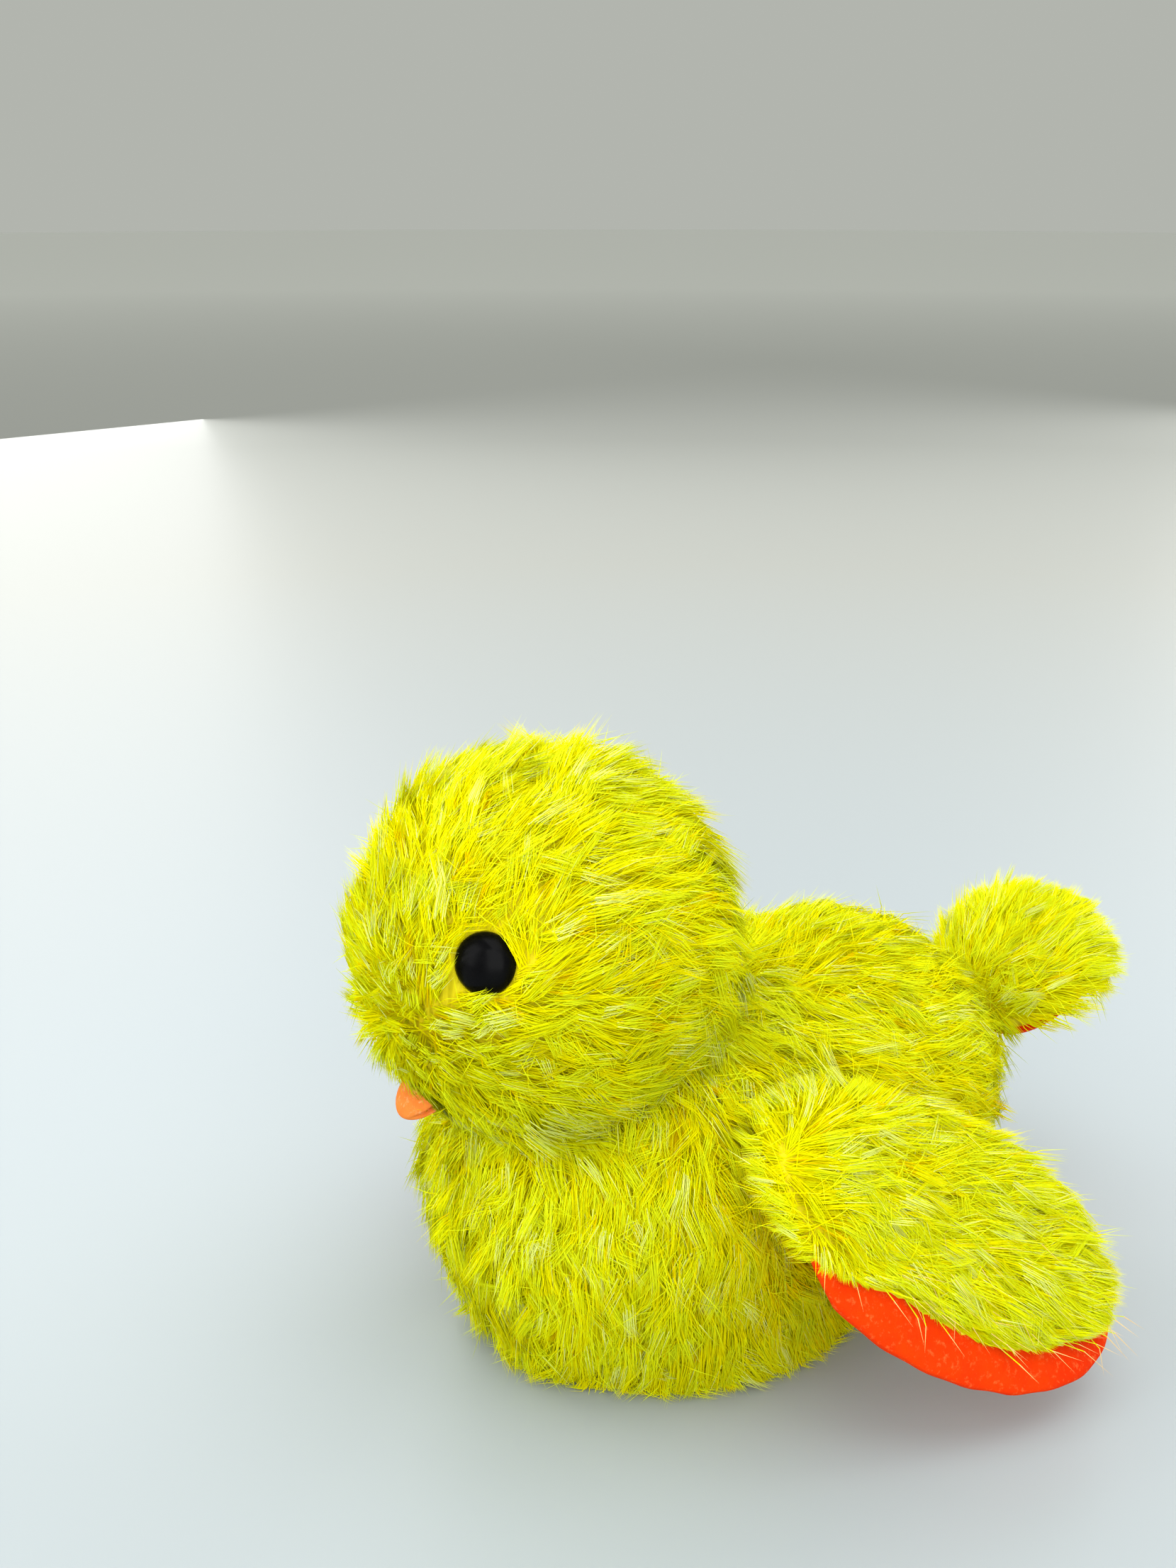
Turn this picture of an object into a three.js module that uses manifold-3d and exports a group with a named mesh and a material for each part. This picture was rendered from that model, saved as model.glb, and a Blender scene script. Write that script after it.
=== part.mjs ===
// Wind-up hopping chicken: a plush chick over a small clockwork movement with two hopping feet.
// Millimetres, +Z up, the chick faces -Y, its left side is +X, its soles stand on z = 0.
import * as THREE from 'three';
import { mergeVertices } from 'three/addons/utils/BufferGeometryUtils.js';
import Module from 'manifold-3d';

const wasm = await Module();
wasm.setup();

// ---------------------------------------------------------------- driving dimensions
const SHIFT_Y = -10.38;                // puts the middle of the bounding box at y = 0
const SEAM = 0.15;                    // half the gap left at every sewn or glued seam
const GAP = 0.3;                      // gap between pieces that only touch
const PILE = 5.0;                     // thickness of the fur fabric, backing and pile
const HEM_Z = 1.0;                    // lower edge of the fur above the floor

const HEAD = { c: [0, -17.5, 45], r: [20.5, 20, 21] };
const CHEST = { c: [0, -7, 20], r: [22, 22, 21] };
const RUMP = { c: [0, 17.5, 23], r: [20, 21.5, 18.5] };
const SKIRT = { c: [0, 0, 3], r: [18.8, 22.2], half: 12 };
const BLEND = 9;                      // radius that melts chest, rump and skirt together
const NECK_POINT = [0, -12.9, 33.9];  // plane of the seam between head and body
const NECK_NORMAL = [0, -0.387, 0.922];
const BODY_CORE = [0, 3, 18];         // the body is star-shaped about this point

const EYE = { dir: [0.635, -0.726, 0.262], r: 3.0, dome: 2.0, seat: 16.9, well: 3.45 };
const EYE_SHANK_R = 1.1;
const WASHER = { r: 2.5, hole: 1.3, from: 13.3, to: 14.2 };
const BEAK = { root: [0, -27.9, 34.6], tip: [0, -34.2, 28.6], width: 6.6, thick: 2.6 };

const WING = {
  root: [21.3, -6.6, 30.2],           // front end of the wing, where it is sewn to the flank
  along: [0.4, 0.78, -0.56], out: [0.74, 0.02, 0.66],
  length: 45, width: 27.5, fur: 4.2, felt: 4.6,
};
const TAIL = {
  root: [0, 39.8, 23.8], along: [0, 0.82, 0.57], out: [0, -0.57, 0.82],
  length: 22.5, width: 21, fur: 6.2, felt: 1.8,
};

const WING_HINGE = 1.5;               // the flap bends this far from its sewn end

const MODULE = 0.4;                   // gear size
const BACKLASH = 0.16;
const PRESSURE = THREE.MathUtils.degToRad(25);
const GREAT_T = 40, SECOND_T = 30, PINION_T = 10;
const A = [-9.5, 16.6];               // winding arbor, y and z
const B = offset(A, MODULE * (GREAT_T + PINION_T) / 2, 25);
const C = offset(B, MODULE * (SECOND_T + PINION_T) / 2, -60);
const P = [9.8, 10.0];                // leg pivot
const CASE_HALF = 7.5, CASE_WALL = 1.2;
const SHAFT_CLEAR = 0.08;             // running clearance on a radius
const ARBOR_R = 1.3, AXLE_R = 0.8, PIVOT_R = 1.0;
const CRANK_R = 1.3, CRANK_PIN_R = 0.65;
const LEG_IN = 9.3, LEG_OUT = 10.7;   // the flat leg arm beside the case
const HOP_MAX = 14;                   // degrees the toes swing down

const PLATE = { rx: 14.1, long: 7.6, cy: 0, z0: 4.3, z1: 5.8 };
const KEY = { x0: -23.7, x1: -28.1, long: 8.8, thick: 3.4 };

const FUR = 0xe0e418, FUR_DARK = 0xd2d410, FELT = 0xff6424, STUFFING = 0xf3f1e6;
const ORANGE = 0xf08a1c, BLACK = 0x0a0a0a, STEEL = 0xb9bcc0, CASE = 0xe9e6da, BRASS = 0xc8a24a;

// ---------------------------------------------------------------- helpers
function offset(p, distance, deg) {
  const t = THREE.MathUtils.degToRad(deg);
  return [p[0] + distance * Math.cos(t), p[1] + distance * Math.sin(t)];
}

function solid(geometry) {
  const g = geometry.index ? geometry.clone() : geometry;
  g.deleteAttribute('normal');
  g.deleteAttribute('uv');
  const m = mergeVertices(g, 1e-5);
  return new wasm.Manifold(new wasm.Mesh({
    numProp: 3,
    vertProperties: new Float32Array(m.attributes.position.array),
    triVerts: new Uint32Array(m.index.array),
  }));
}

function toGeometry(manifold) {
  const mesh = manifold.getMesh();
  const g = new THREE.BufferGeometry();
  g.setAttribute('position', new THREE.BufferAttribute(new Float32Array(mesh.vertProperties), 3));
  g.setIndex(new THREE.BufferAttribute(new Uint32Array(mesh.triVerts), 1));
  g.translate(0, SHIFT_Y, 0);
  g.computeVertexNormals();
  return g;
}

const join = (...list) => list.reduce((a, b) => a.add(b));
const cut = (base, ...list) => list.reduce((a, b) => a.subtract(b), base);

function box(x0, x1, y0, y1, z0, z1) {
  const g = new THREE.BoxGeometry(x1 - x0, y1 - y0, z1 - z0);
  g.translate((x0 + x1) / 2, (y0 + y1) / 2, (z0 + z1) / 2);
  return solid(g);
}

// A round bar along X, centred on the given y and z.
function barX([y, z], r, x0, x1, segments = 18) {
  const g = new THREE.CylinderGeometry(r, r, x1 - x0, segments);
  g.rotateZ(-Math.PI / 2);
  g.translate((x0 + x1) / 2, y, z);
  return solid(g);
}

// A round bar between two distances along a direction that starts at a point.
function rod(from, dir, d0, d1, r0, r1 = r0, segments = 18) {
  const g = new THREE.CylinderGeometry(r1, r0, d1 - d0, segments);
  g.translate(0, (d0 + d1) / 2, 0);
  const n = new THREE.Vector3(...dir).normalize();
  g.applyQuaternion(new THREE.Quaternion().setFromUnitVectors(new THREE.Vector3(0, 1, 0), n));
  g.translate(...from);
  return solid(g);
}

// A flat outline given in y and z, drawn out along X.
function plateX(points, x0, x1, holes = []) {
  const shape = new THREE.Shape(points.map(([y, z]) => new THREE.Vector2(y, z)));
  const g = new THREE.ExtrudeGeometry(shape, { depth: x1 - x0, bevelEnabled: false });
  g.applyMatrix4(new THREE.Matrix4().makeBasis(
    new THREE.Vector3(0, 1, 0), new THREE.Vector3(0, 0, 1), new THREE.Vector3(1, 0, 0)));
  g.translate(x0, 0, 0);
  return cut(solid(g), ...holes);
}

// A flat outline given in x and y, drawn upwards.
function plateZ(points, z0, z1) {
  const shape = new THREE.Shape(points.map(([x, y]) => new THREE.Vector2(x, y)));
  const g = new THREE.ExtrudeGeometry(shape, { depth: z1 - z0, bevelEnabled: false });
  g.translate(0, 0, z0);
  return solid(g);
}

// The convex outline that wraps a set of circles [y, z, r].
function wrapCircles(circles, steps = 20) {
  const pts = [];
  for (const [y, z, r] of circles) {
    for (let i = 0; i < steps; i++) {
      const t = (2 * Math.PI * i) / steps;
      pts.push([y + r * Math.cos(t), z + r * Math.sin(t)]);
    }
  }
  pts.sort((p, q) => p[0] - q[0] || p[1] - q[1]);
  const turn = (o, p, q) => (p[0] - o[0]) * (q[1] - o[1]) - (p[1] - o[1]) * (q[0] - o[0]);
  const half = (list) => {
    const out = [];
    for (const p of list) {
      while (out.length > 1 && turn(out.at(-2), out.at(-1), p) <= 1e-9) out.pop();
      out.push(p);
    }
    out.pop();
    return out;
  };
  return [...half(pts), ...half(pts.reverse())];
}

// A half space on one side of a plane, as a large block.
function beyond(point, normal, shift, side) {
  const g = new THREE.BoxGeometry(300, 300, 150);
  g.translate(0, 0, 75);
  const n = new THREE.Vector3(...normal).normalize().multiplyScalar(side);
  g.applyQuaternion(new THREE.Quaternion().setFromUnitVectors(new THREE.Vector3(0, 0, 1), n));
  const s = new THREE.Vector3(...point).addScaledVector(n, shift);
  g.translate(s.x, s.y, s.z);
  return solid(g);
}

// ---------------------------------------------------------------- soft shapes
function ellipsoidField({ c, r }) {
  return (p) => {
    const q = p.map((v, i) => (v - c[i]) / r[i]);
    const k = Math.hypot(...q);
    const g = Math.hypot(...q.map((v, i) => v / r[i]));
    return g > 1e-9 ? (k * (k - 1)) / g : -Math.min(...r);
  };
}

function skirtField({ c, r, half }) {
  return (p) => {
    const ring = (Math.hypot((p[0] - c[0]) / r[0], (p[1] - c[1]) / r[1]) - 1) * Math.min(...r);
    return Math.max(ring, Math.abs(p[2] - c[2]) - half);
  };
}

function melt(fields, k) {
  return (p) => fields.map((f) => f(p)).reduce((a, b) => {
    const h = Math.max(k - Math.abs(a - b), 0) / k;
    return Math.min(a, b) - (h * h * k) / 4;
  });
}

// A closed skin at one level of a field, seen from a point inside it.
function skin(field, core, level, columns, rows) {
  const reach = (d) => {
    const at = (t) => field(core.map((v, i) => v + d[i] * t)) - level;
    let far = 60;
    while (far > 0.5 && at(far) > 0) far -= 0.5;
    let lo = far, hi = far + 0.5;
    for (let i = 0; i < 24; i++) {
      const mid = (lo + hi) / 2;
      if (at(mid) > 0) hi = mid; else lo = mid;
    }
    return lo;
  };
  const g = new THREE.SphereGeometry(1, columns, rows);
  g.rotateX(Math.PI / 2);
  g.deleteAttribute('normal');
  g.deleteAttribute('uv');
  const m = mergeVertices(g, 1e-4);
  const pos = m.attributes.position;
  for (let i = 0; i < pos.count; i++) {
    const d = new THREE.Vector3().fromBufferAttribute(pos, i).normalize().toArray();
    const t = reach(d);
    pos.setXYZ(i, ...core.map((v, k) => v + d[k] * t));
  }
  return solid(m);
}

// A leaf-shaped pad: two domes of different height over a rounded, root-narrow outline.
function leaf(spec, inset, columns = 22, rows = 10) {
  const u = new THREE.Vector3(...spec.along).normalize();
  const n = new THREE.Vector3(...spec.out);
  n.addScaledVector(u, -n.dot(u)).normalize();
  const w = new THREE.Vector3().crossVectors(n, u);
  const g = new THREE.SphereGeometry(1, columns, rows);
  g.deleteAttribute('normal');
  g.deleteAttribute('uv');
  const m = mergeVertices(g, 1e-4);
  const pos = m.attributes.position;
  const half = spec.length / 2;
  for (let i = 0; i < pos.count; i++) {
    const [a, b, c] = [pos.getX(i), pos.getZ(i), pos.getY(i)];
    const s = a * (half - inset);
    const wide = (spec.width / 2 - inset) * b * (1 + 0.06 * a - 0.1 * a * a);
    const high = c > 0 ? Math.max(spec.fur - inset, 0.6) : Math.max(spec.felt - inset, 0.6);
    const p = new THREE.Vector3(...spec.root)
      .addScaledVector(u, half + s).addScaledVector(w, wide).addScaledVector(n, c * high);
    pos.setXYZ(i, p.x, p.y, p.z);
  }
  const made = solid(m);
  return made.volume() > 0 ? made : solid(flipped(m));
}

function flipped(g) {
  const index = g.index.array;
  for (let i = 0; i < index.length; i += 3) [index[i], index[i + 1]] = [index[i + 1], index[i]];
  return g;
}

function leafPieces(spec, padded) {
  const u = new THREE.Vector3(...spec.along).normalize();
  const n = new THREE.Vector3(...spec.out);
  n.addScaledVector(u, -n.dot(u)).normalize();
  const whole = leaf(spec, 0);
  const fur = whole.intersect(beyond(spec.root, n.toArray(), SEAM, 1));
  const felt = whole.intersect(beyond(spec.root, n.toArray(), SEAM, -1));
  if (!padded) return { fur, felt };
  const hollow = leaf(spec, 1.8, 16, 8);
  return { fur: cut(fur, hollow), felt: cut(felt, hollow), padding: leaf(spec, 2.4, 16, 8) };
}

// A copy of a solid turned about an axis through a point.
function turned(manifold, point, axis, deg) {
  const q = new THREE.Quaternion().setFromAxisAngle(
    new THREE.Vector3(...axis).normalize(), THREE.MathUtils.degToRad(deg));
  const p = new THREE.Vector3(...point);
  return moved(manifold, q, p.clone().sub(p.clone().applyQuaternion(q)));
}

// The space a wing lies in against the flank, over the inner end of its swing.
function wingBed(spec) {
  const u = new THREE.Vector3(...spec.along).normalize();
  const n = new THREE.Vector3(...spec.out);
  n.addScaledVector(u, -n.dot(u)).normalize();
  const hinge = new THREE.Vector3(...spec.root).addScaledVector(u, WING_HINGE);
  const axis = new THREE.Vector3().crossVectors(u, n);
  return [-3.2, -1.5, 0, 5, 10, 16, 22].map(
    (deg) => turned(leaf(spec, -0.35), hinge.toArray(), axis.toArray(), deg));
}

const mirrored = (spec) => ({
  ...spec,
  root: [-spec.root[0], spec.root[1], spec.root[2]],
  along: [-spec.along[0], spec.along[1], spec.along[2]],
  out: [-spec.out[0], spec.out[1], spec.out[2]],
});

// ---------------------------------------------------------------- gears
// Involute spur gear with stub teeth; one tooth is centred on the given angle.
function gear([y, z], teeth, x0, x1, phase, bore = 0) {
  const rp = (MODULE * teeth) / 2;
  const rb = rp * Math.cos(PRESSURE);
  const ra = rp + 0.8 * MODULE, rf = rp - 1.05 * MODULE;
  const inv = (r) => {
    if (r <= rb) return 0;
    const a = Math.acos(rb / r);
    return Math.tan(a) - a;
  };
  const invP = Math.tan(PRESSURE) - PRESSURE;
  const halfAt = (r) => (Math.PI * MODULE / 2 - BACKLASH / 2) / (2 * rp) + invP - inv(r);
  const points = [];
  const radii = teeth > 12 ? [rf, rp, ra] : [rf, rb, rp, ra];
  for (let i = 0; i < teeth; i++) {
    const mid = phase + (2 * Math.PI * i) / teeth;
    for (const r of radii) points.push([r, mid - halfAt(r)]);
    for (const r of [...radii].reverse()) points.push([r, mid + halfAt(r)]);
  }
  const outline = points.map(([r, t]) => [y + r * Math.cos(t), z + r * Math.sin(t)]);
  return plateX(outline, x0, x1, bore ? [barX([y, z], bore, x0 - 1, x1 + 1)] : []);
}

const angleTo = (p, q) => Math.atan2(q[1] - p[1], q[0] - p[0]);
const gapPhase = (p, q, teeth) => angleTo(p, q) + Math.PI / teeth;

// ---------------------------------------------------------------- plush head and body
const pieces = {};
const bodyField = melt([ellipsoidField(CHEST), ellipsoidField(RUMP), skirtField(SKIRT)], BLEND);
const headField = ellipsoidField(HEAD);

const headOuter = skin(headField, HEAD.c, 0, 28, 16);
const headInner = skin(headField, HEAD.c, -PILE, 18, 10);
const bodyOuter = skin(bodyField, BODY_CORE, 0, 36, 20);
const bodyInner = skin(bodyField, BODY_CORE, -PILE, 24, 14);
const aboveNeck = beyond(NECK_POINT, NECK_NORMAL, SEAM, 1);
const belowNeck = beyond(NECK_POINT, NECK_NORMAL, SEAM, -1);
const leftHalf = box(SEAM, 100, -100, 100, -50, 150);
const rightHalf = box(-100, -SEAM, -100, 100, -50, 150);

const eyeDirs = { left: EYE.dir, right: [-EYE.dir[0], EYE.dir[1], EYE.dir[2]] };
const eyeWells = Object.values(eyeDirs).flatMap((d) => [
  rod(HEAD.c, d, EYE.seat, 30, EYE.well),
  rod(HEAD.c, d, 10, 20, EYE_SHANK_R + GAP, EYE_SHANK_R + GAP, 12),
]);

const beakMid = BEAK.root.map((v, i) => (v + BEAK.tip[i]) / 2);
const beakDir = new THREE.Vector3(...BEAK.tip).sub(new THREE.Vector3(...BEAK.root));
const beakLength = beakDir.length();
beakDir.normalize();
const beakSolid = (grow) => {
  // a tongue of felt, widest at two thirds, rounded at the tip and folded double at the root
  const g = new THREE.SphereGeometry(1, 18, 10);
  g.scale(BEAK.width / 2 + grow, beakLength / 2 + grow, BEAK.thick / 2 + grow);
  g.applyQuaternion(new THREE.Quaternion().setFromUnitVectors(
    new THREE.Vector3(0, 1, 0), beakDir));
  g.translate(...beakMid);
  return solid(g);
};

const headShell = cut(headOuter.intersect(aboveNeck), headInner, ...eyeWells, beakSolid(GAP));
pieces.head_cover_left = [headShell.intersect(leftHalf), FUR];
pieces.head_cover_right = [headShell.intersect(rightHalf), FUR];

const leftWing = leafPieces(WING, true);
const rightWing = leafPieces(mirrored(WING), true);
const tail = leafPieces(TAIL, false);

const keyHole = join(barX(A, 2.7, -40, 0, 20), barX(A, 4.3, -40, -22.2, 20));
const aboveFloor = box(-100, 100, -100, 100, HEM_Z, 150);
const hemOutline = wrapCircles([[0, PLATE.cy - PLATE.long / 2, PLATE.rx + GAP], [0, PLATE.cy + PLATE.long / 2, PLATE.rx + GAP]], 28);
const hemBore = plateZ(hemOutline, 0, 12.5);
const bodyShell = cut(bodyOuter.intersect(belowNeck).intersect(aboveFloor), bodyInner, hemBore,
  keyHole, ...wingBed(WING), ...wingBed(mirrored(WING)));
pieces.body_cover_left = [bodyShell.intersect(leftHalf), FUR];
pieces.body_cover_right = [bodyShell.intersect(rightHalf), FUR];

for (const [side, dir] of Object.entries(eyeDirs)) {
  const cap = new THREE.SphereGeometry(1, 24, 5, 0, 2 * Math.PI, 0, Math.PI / 2);
  cap.scale(EYE.r, EYE.dome, EYE.r);
  const domeRing = new THREE.CircleGeometry(EYE.r, 24);
  domeRing.rotateX(Math.PI / 2);
  const dome = solid(closeDome(cap, domeRing));
  const n = new THREE.Vector3(...dir).normalize();
  const q = new THREE.Quaternion().setFromUnitVectors(new THREE.Vector3(0, 1, 0), n);
  const placed = moved(dome, q, n.multiplyScalar(EYE.seat + 0.15 + 0.4).add(new THREE.Vector3(...HEAD.c)));
  const bead = join(placed,
    rod(HEAD.c, dir, EYE.seat + 0.15, EYE.seat + 0.56, EYE.r, EYE.r, 24),
    rod(HEAD.c, dir, 12.0, EYE.seat + 0.3, EYE_SHANK_R, EYE_SHANK_R, 12));
  pieces[`${side}_eye`] = [bead, BLACK];
  const ring = cut(rod(HEAD.c, dir, WASHER.from, WASHER.to, WASHER.r, WASHER.r, 16),
    rod(HEAD.c, dir, WASHER.from - 1, WASHER.to + 1, WASHER.hole, WASHER.hole, 12));
  pieces[`${side}_eye_washer`] = [ring, STEEL];
}

function closeDome(cap, disc) {
  // joins an open dome and the disc under it into one closed surface
  const parts = [cap.toNonIndexed(), disc.toNonIndexed()];
  const all = new Float32Array(parts.flatMap((g) => [...g.attributes.position.array]));
  const g = new THREE.BufferGeometry();
  g.setAttribute('position', new THREE.BufferAttribute(all, 3));
  return g;
}

function moved(manifold, q, shift) {
  const mesh = manifold.getMesh();
  const g = new THREE.BufferGeometry();
  g.setAttribute('position', new THREE.BufferAttribute(new Float32Array(mesh.vertProperties), 3));
  g.setIndex(new THREE.BufferAttribute(new Uint32Array(mesh.triVerts), 1));
  g.applyQuaternion(q);
  g.translate(shift.x, shift.y, shift.z);
  return solid(g);
}

pieces.beak = [beakSolid(0), FELT];

const headCore = skin(headField, HEAD.c, -PILE - 0.6, 16, 10);
const eyePockets = Object.values(eyeDirs).flatMap((d) => [
  rod(HEAD.c, d, WASHER.from - GAP, 30, WASHER.r + 0.5, WASHER.r + 0.5, 14),
  rod(HEAD.c, d, 12.0 - GAP, 30, EYE_SHANK_R + 0.4, EYE_SHANK_R + 0.4, 10),
]);
pieces.head_stuffing = [
  cut(headCore.intersect(beyond(NECK_POINT, NECK_NORMAL, SEAM, 1)), ...eyePockets, beakSolid(GAP)),
  STUFFING];

// ---------------------------------------------------------------- wings and tail
pieces.left_wing_fur = [leftWing.fur, FUR];
pieces.left_wing_felt = [leftWing.felt, FELT];
pieces.left_wing_padding = [leftWing.padding, STUFFING];
pieces.right_wing_fur = [rightWing.fur, FUR];
pieces.right_wing_felt = [rightWing.felt, FELT];
pieces.right_wing_padding = [rightWing.padding, STUFFING];
pieces.tail_fur = [tail.fur, FUR_DARK];
pieces.tail_felt = [tail.felt, FELT];

// ---------------------------------------------------------------- movement case
const greatTip = MODULE * (GREAT_T / 2 + 0.8), secondTip = MODULE * (SECOND_T / 2 + 0.8);
const ring = (p, r) => [p[0], p[1], r];
const room = 0.6;
const innerRings = [ring(A, greatTip + room), ring(B, secondTip + room), ring(C, 3.2), ring([5, 9.4], 1.6)];
const outerRings = [
  ring(A, greatTip + room + CASE_WALL), ring(B, secondTip + room + CASE_WALL),
  ring(C, 3.2 + CASE_WALL), ring(P, 2.6), [-15.6, 9.0, 2.2], [8.6, 25.4, 2.2], [-13.6, 25.2, 2.2],
];
const caseOutline = wrapCircles(outerRings, 20);
const chamber = plateX(wrapCircles(innerRings, 20), -CASE_HALF + CASE_WALL, CASE_HALF - CASE_WALL);
const caseScrews = [[-16.0, 8.8], [8.9, 25.6], [-13.9, 25.6]];
const arborHole = barX(A, ARBOR_R + SHAFT_CLEAR, -20, 20);
const secondHole = barX(B, AXLE_R + SHAFT_CLEAR, -20, 20);
const crankHole = barX(C, AXLE_R + SHAFT_CLEAR, -20, 20);
const pivotHole = barX(P, PIVOT_R + SHAFT_CLEAR, -20, 20);
const screwShafts = caseScrews.map((p) => barX(p, 0.75 + SHAFT_CLEAR, -5.4, 20, 16));
const screwHeads = caseScrews.map((p) => barX(p, 1.4 + SHAFT_CLEAR, 6.5, 20, 20));
const baseScrews = [[4.6, -6.5], [-4.6, -6.5]];

function baseScrewHole(x, y, r, z0, z1, segments = 16) {
  return rod([x, y, 0], [0, 0, 1], z0, z1, r, r, segments);
}

const floorZ = A[1] - (greatTip + room + CASE_WALL);
const wholeCase = join(
  cut(plateX(caseOutline, -CASE_HALF, CASE_HALF), chamber),
  ...baseScrews.map(([x, y]) => baseScrewHole(x, y, 1.6, floorZ + 0.4, floorZ + 3.2, 20)));
const feetOfCase = join(
  box(3.0, 6.2, -8.4, -4.6, PLATE.z1 + SEAM, floorZ + 1.6),
  box(-6.2, -3.0, -8.4, -4.6, PLATE.z1 + SEAM, floorZ + 1.6),
  box(2.4, 7.5, 5.4, 10.8, PLATE.z1 + SEAM, 8.6),
  box(-7.5, -2.4, 5.4, 10.8, PLATE.z1 + SEAM, 8.6));
const caseSolid = cut(join(wholeCase, feetOfCase), arborHole, secondHole, crankHole, pivotHole,
  ...screwShafts, ...screwHeads,
  ...baseScrews.map(([x, y]) => baseScrewHole(x, y, 0.7 + SHAFT_CLEAR, 0, floorZ + 2.4)));
pieces.movement_case_left = [caseSolid.intersect(leftHalf), CASE];
pieces.movement_case_right = [caseSolid.intersect(rightHalf), CASE];

caseScrews.forEach((p, i) => {
  const screw = cut(join(barX(p, 0.75, -5.2, 6.8, 16), barX(p, 1.4, 6.6, 7.4, 20)),
    box(7.0, 8, p[0] - 2, p[0] + 2, p[1] - 0.2, p[1] + 0.2));
  pieces[`case_screw_${i + 1}`] = [screw, STEEL];
});

// ---------------------------------------------------------------- mainspring and winding key
function spiralSpring() {
  const turns = 5.25, steps = 84, thick = 0.3;
  const inner = ARBOR_R + 0.45, outer = 6.9;
  const side = (shift) => Array.from({ length: steps + 1 }, (_, i) => {
    const f = i / steps;
    const t = 2 * Math.PI * turns * f;
    const r = inner + (outer - inner) * f + shift;
    return [A[0] + r * Math.cos(t), A[1] + r * Math.sin(t)];
  });
  return plateX([...side(thick), ...side(0).reverse()], -5.9, -1.9);
}
pieces.mainspring = [spiralSpring(), STEEL];

const greatX = [-1.3, 0.2];
pieces.great_wheel = [
  join(gear(A, GREAT_T, ...greatX, angleTo(A, B), ARBOR_R + SHAFT_CLEAR),
    cut(barX(A, 2.6, 0.1, 2.0), barX(A, ARBOR_R + SHAFT_CLEAR, -1, 3))), BRASS];
pieces.winding_arbor = [barX(A, ARBOR_R, -27.2, 6.9), STEEL];

function keyKnob() {
  const [y, z] = A;
  const hub = barX(A, 2.5, KEY.x1 + 0.2, KEY.x0, 20);
  const outline = wrapCircles([[y - 2, z, KEY.long / 2 - 2], [y + 2, z, KEY.long / 2 - 2]], 24);
  const grip = plateX(outline, KEY.x1, KEY.x0 - 1.4);
  const waist = [1, -1].map((s) => box(KEY.x1 - 1, KEY.x0 - 1.3, y - 10, y + 10,
    s > 0 ? z + KEY.thick / 2 : z - 10, s > 0 ? z + 10 : z - KEY.thick / 2));
  return cut(join(cut(grip, ...waist), hub), barX(A, ARBOR_R + SHAFT_CLEAR, -27.3, 0));
}
pieces.winding_key = [keyKnob(), ORANGE];
pieces.key_eyelet = [cut(
  join(barX(A, 2.4, -23.0, -14.4, 20), barX(A, 3.9, -23.2, -22.5, 20)),
  barX(A, ARBOR_R + SHAFT_CLEAR, -40, 0)), BRASS];

// ---------------------------------------------------------------- second wheel and crank
const secondPhase = angleTo(B, C);
pieces.second_wheel = [
  join(gear(B, PINION_T, -1.6, 1.2, gapPhase(B, A, PINION_T)),
    gear(B, SECOND_T, 1.0, 2.4, secondPhase)), BRASS];
pieces.second_wheel = [join(pieces.second_wheel[0], barX(B, AXLE_R, -6.9, 6.9)), BRASS];

pieces.crank_pinion = [
  join(gear(C, PINION_T, 0.8, 2.8, gapPhase(C, B, PINION_T)),
    barX(C, AXLE_R, -7.7, 7.7)), BRASS];

const crankPin = offset(C, CRANK_R, 90);
for (const [side, s] of [['left', 1], ['right', -1]]) {
  const x = (a, b) => (s > 0 ? [a, b] : [-b, -a]);
  pieces[`${side}_crank`] = [
    join(barX(C, 2.2, ...x(7.8, 9.0)), barX(crankPin, CRANK_PIN_R, ...x(8.8, 11.0), 16)), STEEL];
}

// ---------------------------------------------------------------- legs and feet
const swing = (p, deg) => {
  const t = THREE.MathUtils.degToRad(deg);
  const [y, z] = [p[0] - P[0], p[1] - P[1]];
  return [P[0] + y * Math.cos(t) - z * Math.sin(t), P[1] + y * Math.sin(t) + z * Math.cos(t)];
};
const windowR = CRANK_R + CRANK_PIN_R + 0.3;
const windowRings = [0, -5, -10, -HOP_MAX - 1].map((d) => [...swing(C, d), windowR]);
const windowOutline = wrapCircles(windowRings, 18);
const rimOutline = wrapCircles(windowRings.map(([y, z, r]) => [y, z, r + 1.3]), 18);
const TIE = [1.6, 3.4];

function leg(s) {
  const x = (a, b) => (s > 0 ? [a, b] : [-b, -a]);
  const [x0, x1] = x(LEG_IN, LEG_OUT);
  const arm = join(
    plateX(rimOutline, x0, x1),
    plateX(wrapCircles([[...P, 2.4], [...swing(C, -7), 2.4]], 18), x0, x1),
    plateX(wrapCircles([[2.4, 9.8, 1.6], [4.2, 9.4, 1.6], [-1.6, 1.3, 1.3], [4.6, 1.3, 1.3]], 14), x0, x1));
  const toe = (fx, fy, r) => plateZ(
    wrapCircles([[s * 6.0, 5.4, 3.0], [s * fx, fy, r]], 18), 0, 2.4);
  const foot = join(toe(3.1, -10.4, 1.5), toe(6.3, -12.2, 1.6), toe(9.2, -9.6, 1.5));
  return cut(join(arm, foot),
    plateX(windowOutline, x0 - 1, x1 + 1),
    barX(P, PIVOT_R + SHAFT_CLEAR, x0 - 1, x1 + 1),
    barX(TIE, 0.7 + SHAFT_CLEAR, x0 - 1, x1 + 1, 16));
}

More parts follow.
